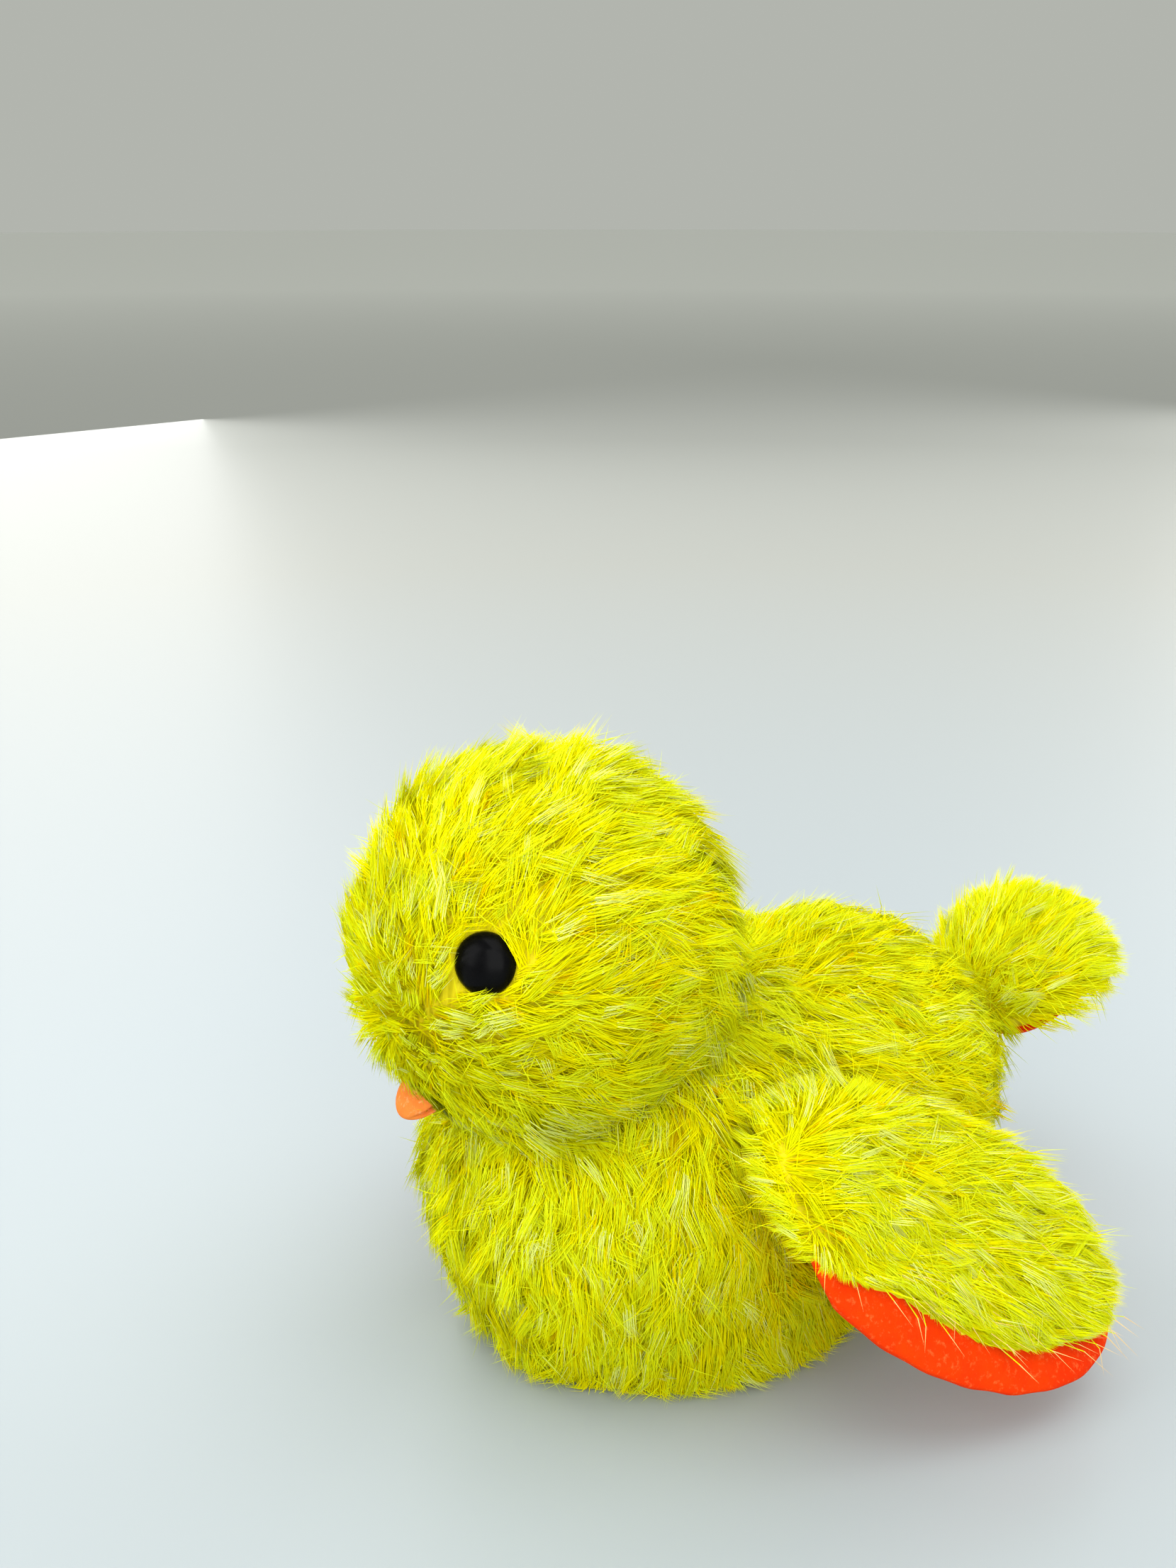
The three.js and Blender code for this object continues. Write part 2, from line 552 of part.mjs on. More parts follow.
pieces.left_leg = [leg(1), ORANGE];
pieces.right_leg = [leg(-1), ORANGE];
pieces.leg_tie_rod = [barX(TIE, 0.7, -LEG_OUT - 0.3, LEG_OUT + 0.3, 16), STEEL];
pieces.leg_pivot_pin = [barX(P, PIVOT_R, -LEG_OUT - 0.5, LEG_OUT + 0.5, 20), STEEL];

// ---------------------------------------------------------------- base plate
function basePlate() {
  const half = PLATE.long / 2;
  const outline = wrapCircles([[0, PLATE.cy - half, PLATE.rx], [0, PLATE.cy + half, PLATE.rx]], 28);
  return cut(plateZ(outline, PLATE.z0, PLATE.z1),
    box(LEG_IN - 0.4, LEG_OUT + 0.4, -4.6, 8.4, 0, 10),
    box(-LEG_OUT - 0.4, -LEG_IN + 0.4, -4.6, 8.4, 0, 10),
    ...baseScrews.map(([x, y]) => baseScrewHole(x, y, 0.7 + SHAFT_CLEAR, 0, 10)));
}
pieces.base_plate = [basePlate(), ORANGE];
baseScrews.forEach(([x, y], i) => {
  const screw = cut(join(
    baseScrewHole(x, y, 0.7, PLATE.z0 - 0.4, floorZ + 2.2),
    baseScrewHole(x, y, 1.4, PLATE.z0 - 0.9, PLATE.z0 - 0.12, 20)),
  box(x - 0.2, x + 0.2, y - 2, y + 2, 0, PLATE.z0 - 0.55));
  pieces[`base_screw_${i + 1}`] = [screw, STEEL];
});

// ---------------------------------------------------------------- body stuffing
const grown = wrapCircles(outerRings.map(([y, z, r]) => [y, z, r + 0.8]), 12);
const bodyCore = skin(bodyField, BODY_CORE, -PILE - 0.7, 22, 14);
pieces.body_stuffing = [cut(
  bodyCore.intersect(belowNeck).intersect(box(-100, 100, -100, 100, PLATE.z1 + 0.6, 150)),
  plateX(grown, -CASE_HALF - 0.5, CASE_HALF + 0.5),
  plateX(wrapCircles([[...P, 4.2], [...C, 6.2], [-4, 6, 3], [2, 14, 6]], 20), -12.2, 12.2),
  box(-12.2, 12.2, -7, 15, 0, 11),
  box(-7.9, 7.9, -16, 13, 0, 12),
  barX(A, 2.7, -40, 0)), STUFFING];

// ---------------------------------------------------------------- the toy
const toy = new THREE.Group();
toy.name = 'wind_up_hopping_chicken';
for (const [name, [manifold, color]] of Object.entries(pieces)) {
  const material = new THREE.MeshStandardMaterial({ color, roughness: 0.8, metalness: 0 });
  material.name = name;
  const mesh = new THREE.Mesh(toGeometry(manifold), material);
  mesh.name = name;
  toy.add(mesh);
}

export default toy;
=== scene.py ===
"""Wind-up hopping chicken: plush, felt, beads and metal finishes built around its movement."""

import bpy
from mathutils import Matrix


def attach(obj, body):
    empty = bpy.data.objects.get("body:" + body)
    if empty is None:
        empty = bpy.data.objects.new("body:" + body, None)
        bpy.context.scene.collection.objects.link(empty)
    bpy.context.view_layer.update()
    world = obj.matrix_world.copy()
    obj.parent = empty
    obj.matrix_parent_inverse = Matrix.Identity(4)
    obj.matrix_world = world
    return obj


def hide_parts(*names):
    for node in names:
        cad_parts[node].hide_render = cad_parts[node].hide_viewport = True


bl_info = {
    "name": "Wind-up Hopping Chicken",
    "version": (1, 0, 0),
    "blender": (4, 5, 0),
    "location": "3D View > Sidebar > Chicken",
    "description": "Plush, felt, beads, stuffing and finishes of a hopping chicken",
    "category": "Add Mesh",
}

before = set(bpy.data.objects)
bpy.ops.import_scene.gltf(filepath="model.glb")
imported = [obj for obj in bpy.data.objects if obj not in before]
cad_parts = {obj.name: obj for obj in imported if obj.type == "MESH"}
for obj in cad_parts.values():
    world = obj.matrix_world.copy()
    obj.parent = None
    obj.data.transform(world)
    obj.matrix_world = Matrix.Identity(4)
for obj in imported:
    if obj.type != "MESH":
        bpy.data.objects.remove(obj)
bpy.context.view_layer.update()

import math

import bmesh
import bpy
import numpy as np
from mathutils import Matrix, Vector, kdtree

MM = 0.001                      # every shape below is thought out in millimetres
SHIFT = np.array([0.0, -10.38, 0.0])    # from the maker's origin at the case to the row frame

# ---------------------------------------------------------------- driving shapes, millimetres
HEAD_C, HEAD_R = np.array([0.0, -17.5, 45.0]), np.array([20.5, 20.0, 21.0])
CHEST_C, CHEST_R = np.array([0.0, -7.0, 20.0]), np.array([22.0, 22.0, 21.0])
RUMP_C, RUMP_R = np.array([0.0, 17.5, 23.0]), np.array([20.0, 21.5, 18.5])
SKIRT_R, SKIRT_Z, SKIRT_HALF = (18.8, 22.2), 3.0, 12.0
MELT = 9.0                      # how softly chest, rump and skirt run together
BORE_R, BORE_LONG, BORE_TOP = 14.4, 3.8, 12.5   # the opening under the hem
NECK_P, NECK_N = np.array([0.0, -12.9, 33.9]), np.array([0.0, -0.387, 0.922])
BODY_CORE = np.array([0.0, 3.0, 18.0])
HEM_Z, FLOOR_GAP = 1.3, 0.25    # where the cover is hemmed, and how far pile stays off the floor
ROOTS = -2.5                    # level where the fibres leave the dense underpile
WALL = 1.8                      # thickness of the fur fabric, backing and underpile
EYE_DIR = np.array([0.635, -0.726, 0.262])
EYE_R = 3.0                     # radius of a bead eye
EYE_WELL_R, EYE_WELL_FLOOR = 3.2, 17.0  # the hole round it, and how far out its floor is
BEAK_ROOT, BEAK_TIP = np.array([0.0, -27.4, 35.7]), np.array([0.0, -34.4, 29.9])
KEY_YZ = np.array([-9.5, 16.6])
KEY_CLEAR = 4.7                 # the pile is parted this far round the winding key
KEY_SIDE = -8.0                 # only pile past this is near the key

WING = {
    "root": np.array([21.3, -6.6, 30.2]), "u": np.array([0.3845, 0.7499, -0.5384]),
    "n": np.array([0.7690, 0.0624, 0.6362]), "length": 43.8, "width": 27.0,
    "fur": 4.2, "felt": 4.6,
}
TAIL = {
    "root": np.array([0.0, 39.8, 23.8]), "u": np.array([0.0, 0.8211, 0.5708]),
    "n": np.array([0.0, -0.5708, 0.8211]), "length": 20.8, "width": 21.0,
}
WING_HINGE = 1.5                # the wing bends this far from its sewn end
BED_TURNS = (-3.2, 0.0, 6.0, 14.0, 22.0)    # degrees of swing that the flank leaves room for

# ---------------------------------------------------------------- small vector helpers


def unit(v):
    """Vectors of length one."""
    return v / np.maximum(np.linalg.norm(v, axis=-1, keepdims=True), 1e-9)


def along_surface(v, n):
    """The part of v that lies in the surface with normal n, as a unit vector."""
    return unit(v - (v * n).sum(-1, keepdims=True) * n)


def beside(p, point, axis):
    """How far points are along an axis from a point on it, and how far from the axis."""
    away = p - point
    front = away @ axis
    return front, np.linalg.norm(away - front[..., None] * axis, axis=-1)


def hump(distance, width):
    """Falls smoothly from 1 at no distance to nothing well past the width."""
    return np.exp(-((distance / width) ** 2))


def ripple(p, size, seed):
    """A smooth wandering number from -1 to 1 for each point, with hills about size apart."""
    rng = np.random.default_rng(seed)
    total = np.zeros(len(p))
    for _ in range(5):
        k = rng.normal(size=3)
        k *= (2 * math.pi / size) * rng.uniform(0.6, 1.3) / np.linalg.norm(k)
        total += np.sin(p @ k + rng.uniform(0, 2 * math.pi))
    return total / 2.6


def wander(p, size, seed):
    """A smooth wandering vector for each point."""
    return np.stack([ripple(p, size, seed + i) for i in range(3)], axis=1)


# ---------------------------------------------------------------- the soft body as distance fields


def ellipsoid(p, centre, radii):
    """Distance from an ellipsoid, negative inside."""
    q = (p - centre) / radii
    k = np.linalg.norm(q, axis=1)
    return k * (k - 1) / np.maximum(np.linalg.norm(q / radii, axis=1), 1e-6)


def head_field(p):
    return ellipsoid(p, HEAD_C, HEAD_R)


def body_field(p):
    """Chest, rump and skirt melted together."""
    ring = (np.hypot(p[:, 0] / SKIRT_R[0], p[:, 1] / SKIRT_R[1]) - 1) * min(SKIRT_R)
    parts = [
        ellipsoid(p, CHEST_C, CHEST_R),
        ellipsoid(p, RUMP_C, RUMP_R),
        np.maximum(ring, np.abs(p[:, 2] - SKIRT_Z) - SKIRT_HALF),
    ]
    total = parts[0]
    for other in parts[1:]:
        h = np.maximum(MELT - np.abs(total - other), 0) / MELT
        total = np.minimum(total, other) - h * h * MELT / 4
    return total


def leaf_axes(leaf):
    """Along the leaf, out of its furred face, and across it."""
    u = unit(leaf["u"])
    n = unit(leaf["n"] - (leaf["n"] @ u) * u)
    return u, n, np.cross(n, u)


def leaf_field(p, leaf):
    """Distance from a padded leaf, negative inside."""
    u, n, w = leaf_axes(leaf)
    half = leaf["length"] / 2
    q = p - leaf["root"]
    a = (q @ u - half) / half
    wide = leaf["width"] / 2 * np.clip(1 + 0.06 * a - 0.1 * a * a, 0.3, 2)
    b = (q @ w) / wide
    deep = np.where(q @ n > 0, leaf["fur"], leaf["felt"])
    c = (q @ n) / deep
    k = np.sqrt(a * a + b * b + c * c)
    g = np.sqrt((a / half) ** 2 + (b / wide) ** 2 + (c / deep) ** 2)
    return k * (k - 1) / np.maximum(g, 1e-6)


def turned(p, point, axis, degrees):
    """Points turned about an axis through a point."""
    m = np.array(Matrix.Rotation(math.radians(degrees), 3, Vector(axis)))
    return (p - point) @ m.T + point


def wing_bed(p):
    """Distance from the space that the wings sweep against the flanks, negative inside it."""
    q = p.copy()
    q[:, 0] = np.abs(q[:, 0])
    u, n, _ = leaf_axes(WING)
    hinge = WING["root"] + WING_HINGE * u
    axis = np.cross(u, n)
    return np.min([leaf_field(turned(q, hinge, axis, -d), WING) for d in BED_TURNS], axis=0)


def key_field(p):
    """Distance from the clear space round the winding key, on the right flank."""
    ring = np.hypot(p[:, 1] - KEY_YZ[0], p[:, 2] - KEY_YZ[1]) - KEY_CLEAR
    return np.maximum(ring, p[:, 0] + 17.0)


def gradient(field, p, step=0.05):
    """Unit direction in which a field grows fastest."""
    cols = []
    for i in range(3):
        d = np.zeros(3)
        d[i] = step
        cols.append(field(p + d) - field(p - d))
    return unit(np.stack(cols, axis=1))


def body_cloth(p):
    """The body backing: pressed in under the wings and round the key, clear of the hem bore."""
    level = body_field(p) - ROOTS
    bore = np.hypot(p[:, 0], np.maximum(np.abs(p[:, 1]) - BORE_LONG, 0)) - BORE_R - WALL - 0.2
    level = np.minimum(level, np.maximum(bore, p[:, 2] - BORE_TOP - 1))
    return np.maximum(level, 0.6 - wing_bed(p))


def head_cloth(p):
    """The head's fur fabric, let in round the eyes and the beak."""
    level = np.maximum(head_field(p) - ROOTS, 0.25 - beak_field(p))
    for axis in eye_axes().values():
        front, far = beside(p, HEAD_C, axis)
        level = np.maximum(level, -np.maximum(far - EYE_WELL_R, EYE_WELL_FLOOR - front))
    return level


# ---------------------------------------------------------------- meshes


def to_row(p):
    """Millimetres at the maker's origin to metres in the row frame."""
    return (np.asarray(p) + SHIFT) * MM


def linked(name, mesh):
    """An object for a mesh, shown in the scene."""
    o = bpy.data.objects.new(name, mesh)
    bpy.context.scene.collection.objects.link(o)
    return o


def piece(name, bm, materials, smooth=True, drawn=True):
    """A finished object from a bmesh, drawn in millimetres at the maker's origin unless told
    that it is in the row frame's metres already."""
    if drawn:
        bmesh.ops.translate(bm, vec=Vector(SHIFT), verts=bm.verts)
        bmesh.ops.scale(bm, vec=(MM, MM, MM), verts=bm.verts)
    mesh = bpy.data.meshes.new(name)
    bm.to_mesh(mesh)
    bm.free()
    mesh.polygons.foreach_set("use_smooth", np.full(len(mesh.polygons), smooth))
    for m in materials:
        mesh.materials.append(m)
    return linked(name, mesh)


def ball_skin(core, field, subdivisions, reach=48.0):
    """A ball whose points are moved out from its core until they meet the field's zero level."""
    bm = bmesh.new()
    bmesh.ops.create_icosphere(bm, subdivisions=subdivisions, radius=1.0)
    d = unit(np.array([v.co[:] for v in bm.verts]))
    steps = np.arange(4.0, reach, 0.6)
    inside = np.ones(len(d), bool)
    low = np.full(len(d), steps[0])
    for t in steps:
        inside &= field(core + d * t) < 0
        low = np.where(inside, t, low)
    high = low + 0.6
    for _ in range(12):
        mid = (low + high) / 2
        out = field(core + d * mid[:, None]) > 0
        high, low = np.where(out, mid, high), np.where(out, low, mid)
    for v, p in zip(bm.verts, core + d * low[:, None]):
        v.co = p
    return bm


def trim(bm, point, normal):
    """Cuts away what lies on the side of a plane that its normal points to."""
    bmesh.ops.bisect_plane(
        bm, geom=bm.verts[:] + bm.edges[:] + bm.faces[:], dist=1e-4,
        plane_co=Vector(point), plane_no=Vector(normal), clear_outer=True)


def leaf_ball(leaf, inset, fur, felt, subdivisions=6):
    """A ball drawn out into the padded leaf of a wing or the tail."""
    bm = bmesh.new()
    bmesh.ops.create_icosphere(bm, subdivisions=subdivisions, radius=1.0)
    u, n, w = leaf_axes(leaf)
    half = leaf["length"] / 2
    for v in bm.verts:
        a, b, c = v.co
        wide = (leaf["width"] / 2 - inset) * b * (1 + 0.06 * a - 0.1 * a * a)
        v.co = Vector(leaf["root"] + u * (half + a * (half - inset)) + w * wide
                      + n * (c * (fur if c > 0 else felt)))
    return bm


def shell(o, thickness):
    """Gives an open skin a wall on its inner side."""
    m = o.modifiers.new("wall", "SOLIDIFY")
    m.thickness = thickness * MM
    m.offset = -1.0
    m.use_rim = True
    return o


def skin_points(bm, count, rng, weight=None):
    """Points spread over a skin, evenly or by weight, with the surface direction at each."""
    bmesh.ops.triangulate(bm, faces=bm.faces[:])
    bm.normal_update()
    bm.verts.index_update()
    co = np.array([v.co[:] for v in bm.verts])
    no = np.array([v.normal[:] for v in bm.verts])
    tri = np.array([[v.index for v in f.verts] for f in bm.faces])
    a, b, c = co[tri[:, 0]], co[tri[:, 1]], co[tri[:, 2]]
    area = np.linalg.norm(np.cross(b - a, c - a), axis=1) / 2
    if weight is not None:
        area = area * weight((a + b + c) / 3)
    pick = rng.choice(len(tri), count, p=area / area.sum())
    r1, r2 = np.sqrt(rng.random(count))[:, None], rng.random(count)[:, None]
    bary = (1 - r1, r1 * (1 - r2), r1 * r2)
    t = tri[pick]
    p = sum(w * co[t[:, i]] for i, w in enumerate(bary))
    n = unit(sum(w * no[t[:, i]] for i, w in enumerate(bary)))
    return p, n


# ---------------------------------------------------------------- pile


FIBRE_STEPS = (0.0, 0.52, 1.0)      # along a fibre, from root to tip
FIBRE_TAPER = (1.0, 0.85, 0.0)      # radius there, of the fibre's own
CORNERS = 3                         # a fibre's section has three corners
LOCK_HOLD = 0.58                    # how far the tips of a lock gather
LOCK_TURN = 0.24                    # how much the locks' ways differ
SOFTNESS = 0.72                     # how far a fibre is shaded as the fabric it grows from


def one_fibre():
    """The shape that all the pile repeats: ring of each corner, its offset, and its faces."""
    bm = bmesh.new()
    bmesh.ops.create_circle(bm, cap_ends=True, segments=CORNERS, radius=1.0)
    ring = bm.edges[:]
    for z0, z1, r0, r1 in zip(FIBRE_STEPS, FIBRE_STEPS[1:], FIBRE_TAPER, FIBRE_TAPER[1:]):
        made = bmesh.ops.extrude_edge_only(bm, edges=ring)["geom"]
        verts = [g for g in made if isinstance(g, bmesh.types.BMVert)]
        ring = [g for g in made if isinstance(g, bmesh.types.BMEdge)]
        bmesh.ops.scale(bm, vec=(r1 / r0, r1 / r0, 1.0), verts=verts)
        bmesh.ops.translate(bm, vec=(0, 0, z1 - z0), verts=verts)
    bmesh.ops.remove_doubles(bm, verts=bm.verts, dist=1e-5)
    bmesh.ops.recalc_face_normals(bm, faces=bm.faces)
    bm.verts.index_update()
    step = np.array([int(np.argmin([abs(v.co.z - s) for s in FIBRE_STEPS])) for v in bm.verts])
    offset = np.array([v.co[:2] for v in bm.verts])
    faces = [[v.index for v in f.verts] for f in bm.faces]
    band = [int(min(step[v] for v in f)) for f in faces]
    bm.free()
    return step, offset, faces, band


FIBRE = one_fibre()


def pile_mesh(name, paths, normals, thick, tones, materials):
    """One mesh of all the fibres of a piece. tones gives the lower and upper finish of each, and
    normals the way the fabric faces, which softens the shading as in real, translucent pile."""
    step, offset, faces, band = FIBRE
    count, corners = len(paths), len(step)
    way = unit(paths[:, 2] - paths[:, 0])
    side = unit(np.cross(way, unit(paths[:, 1] - paths[:, 0]) + 0.05 * np.array([0.3, 0.5, 0.8])))
    up = np.cross(way, side)
    rings = paths[:, step, :]
    rings = rings + thick[:, None, None] * (
        offset[None, :, 0, None] * side[:, None, :] + offset[None, :, 1, None] * up[:, None, :])
    mesh = bpy.data.meshes.new(name)
    mesh.vertices.add(count * corners)
    mesh.vertices.foreach_set("co", to_row(rings.reshape(-1, 3)).astype(np.float32).ravel())
    flat = np.array([v for f in faces for v in f])
    starts = np.concatenate([[0], np.cumsum([len(f) for f in faces])[:-1]])
    index = (flat[None, :] + np.arange(count)[:, None] * corners).ravel()
    mesh.loops.add(len(index))
    mesh.loops.foreach_set("vertex_index", index.astype(np.int32))
    mesh.polygons.add(count * len(faces))
    begin = (starts[None, :] + np.arange(count)[:, None] * len(flat)).ravel()
    mesh.polygons.foreach_set("loop_start", begin.astype(np.int32))
    mesh.polygons.foreach_set("material_index", tones[:, band].astype(np.int32).ravel())
    mesh.polygons.foreach_set("use_smooth", np.ones(count * len(faces), bool))
    mesh.update(calc_edges=True)
    mesh.validate()
    round_part = unit(offset[None, :, 0, None] * side[:, None, :]
                      + offset[None, :, 1, None] * up[:, None, :])
    facing = unit(SOFTNESS * normals[:, None, :] + (1 - SOFTNESS) * round_part)
    mesh.normals_split_custom_set_from_vertices(facing.reshape(-1, 3))
    for m in materials:
        mesh.materials.append(m)
    return linked(name, mesh)


def comb(roots, normals, lay, length, lift, fall, rng, lock_size=15, stray=0.09):
    """Paths of the fibres: they stand at lift degrees, fall over to fall degrees, and their
    tips gather into locks. A few stray."""
    count = len(roots)
    centres = rng.choice(count, max(4, int(count / lock_size)), replace=False)
    tree = kdtree.KDTree(len(centres))
    for i, k in enumerate(centres):
        tree.insert(roots[k], i)
    tree.balance()
    near = centres[np.array([tree.find(r)[1] for r in roots])]
    lock_way = lay + LOCK_TURN * rng.normal(size=lay.shape)
    loose = rng.random(count) < stray
    way = lock_way[near] + 0.14 * rng.normal(size=lay.shape)
    way[loose] += 0.7 * rng.normal(size=(loose.sum(), 3))
    way = along_surface(way, normals)
    size = (length * np.clip(rng.normal(1.0, 0.11, count), 0.7, 1.3)[near]
            * np.clip(rng.normal(1.0, 0.07, count), 0.8, 1.2))
    tilt = rng.normal(0, 7, count)[near] + rng.normal(0, 3, count)
    a0 = np.radians(np.clip(lift + tilt, 12, 88))
    a1 = np.radians(fall + tilt * 0.9 + np.where(loose, 14, 0))
    turn = np.where(np.abs(a1 - a0) < 0.02, 0.02, a1 - a0)
    side = np.cross(normals, way)
    curl = rng.normal(0, 0.9, count)[near] + rng.normal(0, 0.35, count)
    paths, heights = [], []
    for s in FIBRE_STEPS:
        flat = size * (np.sin(a0 + turn * s) - np.sin(a0)) / turn
        high = -size * (np.cos(a0 + turn * s) - np.cos(a0)) / turn
        paths.append(roots + way * flat[:, None] + normals * high[:, None]
                     + side * (curl * s * s)[:, None])
        heights.append(high)
    paths, heights = np.stack(paths, axis=1), np.stack(heights, axis=1)
    grip = np.where(loose, 0.1, LOCK_HOLD)[:, None] * np.array(FIBRE_STEPS)[None, :] ** 1.1
    paths = paths[near] + (paths - paths[near]) * (1 - grip)[:, :, None]
    return paths, heights, near, loose


def hug(paths, heights, field, level):
    """Keeps each ring of a fibre at its own height over the backing, round the curve."""
    for k in range(1, len(FIBRE_STEPS)):
        p = paths[:, k]
        move = level + 0.86 * heights[:, k] - field(p)
        paths[:, k] = p + gradient(field, p) * np.clip(move, -4, 4)[:, None]
    return paths


def push_out(paths, field, room):
    """Moves rings of a fibre out of a space that must stay clear."""
    for k in range(1, len(FIBRE_STEPS)):
        p = paths[:, k]
        near = room - field(p)
        hit = near > 0
        if hit.any():
            paths[hit, k] = p[hit] + gradient(field, p[hit]) * near[hit][:, None]
    return paths


# Rows of the dye table: finish of the lower and the upper part of a fibre; tone 4 is partly
# painted sheen, tone 5 painted reflection of the felt
DYE = np.array([[0, 1], [1, 1], [1, 2], [1, 3], [2, 3], [2, 4], [3, 5]])
FRINGE = 6                          # the row for strands that hang over the felt
DYE_SHARES = {                      # of the locks of each piece, for every row but the fringe
    "head": [0.08, 0.22, 0.25, 0.22, 0.12, 0.11],
    "body": [0.12, 0.25, 0.26, 0.20, 0.09, 0.08],
    "wing": [0.08, 0.20, 0.26, 0.22, 0.12, 0.12],
    "tail": [0.10, 0.22, 0.26, 0.22, 0.12, 0.08],
}


def thickness(s, rng, count):
    """Radius of each fibre, millimetres: no two are quite alike."""
    return s.fibre_radius / MM * rng.uniform(0.75, 1.2, count)


def pile(name, body, node, paths, normals, thick, tones):
    """A finished piece of pile, which stands for a cover node and rides on its body."""
    o = pile_mesh(name, paths, normals, thick, tones, palette())
    return soft(o, body, (node,))


def dye(near, loose, pale, rng, weights):
    """Picks a row of the dye table for each fibre, mostly the same within a lock."""
    rows = rng.choice(len(weights), len(near), p=weights)
    lock = rows[near]
    lock = np.where(rng.random(len(near)) < 0.35, rows, lock)
    lock = np.where(pale & (rng.random(len(near)) < 0.6), np.minimum(lock + 1, 5), lock)
    lock = np.where(loose, 3, lock)
    return DYE[lock]


# ---------------------------------------------------------------- finishes


def shader(name):
    """A new material with its main shader and its place on the object, for patterns."""
    m = bpy.data.materials.new(name)
    m.use_nodes = True
    nt = m.node_tree
    bsdf = next(n for n in nt.nodes if n.type == "BSDF_PRINCIPLED")
    return m, nt, bsdf, nt.nodes.new("ShaderNodeTexCoord").outputs["Object"]


def noise(nt, place, scale, detail=4.0, rough=0.6):
    """A cloudy pattern, from 0 to 1."""
    n = nt.nodes.new("ShaderNodeTexNoise")
    n.inputs["Scale"].default_value = scale
    n.inputs["Detail"].default_value = detail
    n.inputs["Roughness"].default_value = rough
    nt.links.new(place, n.inputs["Vector"])
    return n.outputs["Fac"]


def spread(nt, source, low, high, start=0.35, end=0.65):
    """Maps a pattern from start..end onto low..high."""
    n = nt.nodes.new("ShaderNodeMapRange")
    for key, value in (("From Min", start), ("From Max", end), ("To Min", low), ("To Max", high)):
        n.inputs[key].default_value = value
    nt.links.new(source, n.inputs["Value"])
    return n.outputs["Result"]


def blend_colours(nt, source, a, b, start=0.35, end=0.65):
    """Runs from colour a to colour b over a pattern."""
    n = nt.nodes.new("ShaderNodeValToRGB")
    n.color_ramp.elements[0].position, n.color_ramp.elements[1].position = start, end
    n.color_ramp.elements[0].color, n.color_ramp.elements[1].color = (*a, 1), (*b, 1)
    nt.links.new(source, n.inputs["Fac"])
    return n.outputs["Color"]


def over(nt, amount, under, top, bsdf):
    """Lays a plain colour over a pattern by an amount, as the shader's colour."""
    n = nt.nodes.new("ShaderNodeMix")
    n.data_type = "RGBA"
    nt.links.new(amount, n.inputs["Factor"])
    nt.links.new(under, n.inputs[6])
    n.inputs[7].default_value = (*top, 1)
    nt.links.new(n.outputs[2], bsdf.inputs["Base Color"])


def relief(nt, source, bsdf, strength, distance):
    """Raises a pattern as fine relief, distance in millimetres."""
    n = nt.nodes.new("ShaderNodeBump")
    n.inputs["Strength"].default_value = strength
    n.inputs["Distance"].default_value = distance * MM
    nt.links.new(source, n.inputs["Height"])
    nt.links.new(n.outputs["Normal"], bsdf.inputs["Normal"])


def pile_finish(name, colour):
    """Polyester fibre in one tone of the pile, with uneven gloss and a slightly kinked surface;
    most tones are dyes, one is partly painted sheen and one painted felt reflection.
    """
    m, nt, bsdf, place = shader(name)
    bsdf.inputs["Base Color"].default_value = (*colour, 1)
    bsdf.inputs["Specular IOR Level"].default_value = 0.0
    grain = noise(nt, place, 900.0, 2.0)
    nt.links.new(spread(nt, grain, 0.50, 0.77), bsdf.inputs["Roughness"])
    relief(nt, grain, bsdf, 0.25, 0.05)
    return m


def knit_finish(name, dark, light):
    """Backing and dense underpile: rows of small loops, dyed through."""
    m, nt, bsdf, place = shader(name)
    wave = nt.nodes.new("ShaderNodeTexWave")
    wave.inputs["Scale"].default_value = 330.0
    wave.inputs["Distortion"].default_value = 2.5
    wave.inputs["Detail"].default_value = 2.0
    nt.links.new(place, wave.inputs["Vector"])
    nt.links.new(blend_colours(nt, noise(nt, place, 450.0), dark, light),
                 bsdf.inputs["Base Color"])
    nt.links.new(spread(nt, wave.outputs["Fac"], 0.75, 0.95, 0, 1), bsdf.inputs["Roughness"])
    relief(nt, wave.outputs["Fac"], bsdf, 0.6, 0.3)
    bsdf.inputs["Specular IOR Level"].default_value = 0.2
    return m


def felt_finish(name, deep, main, pale):
    """Pressed wool felt: matted fibres, cloudy dye and paler flecks on a soft nap."""
    m, nt, bsdf, place = shader(name)
    cloud = blend_colours(nt, noise(nt, place, 120.0, 6.0, 0.7), deep, main, 0.38, 0.62)
    fleck = spread(nt, noise(nt, place, 1500.0, 3.0, 0.7), 0.0, 0.55, 0.56, 0.74)
    over(nt, fleck, cloud, pale, bsdf)
    bsdf.inputs["Specular IOR Level"].default_value = 0.06
    mat = noise(nt, place, 1100.0, 5.0, 0.75)
    nt.links.new(spread(nt, mat, 0.8, 1.0), bsdf.inputs["Roughness"])
    relief(nt, mat, bsdf, 0.55, 0.25)
    return m


def wadding_finish(name):
    """Loose polyester wadding: white matted fibres."""
    m, nt, bsdf, place = shader(name)
    cloud = noise(nt, place, 260.0, 8.0, 0.8)
    nt.links.new(blend_colours(nt, cloud, (0.68, 0.66, 0.60), (0.92, 0.91, 0.87)),
                 bsdf.inputs["Base Color"])
    nt.links.new(spread(nt, cloud, 0.85, 1.0), bsdf.inputs["Roughness"])
    bsdf.inputs["Sheen Weight"].default_value = 0.3
    relief(nt, cloud, bsdf, 0.8, 0.8)
    return m


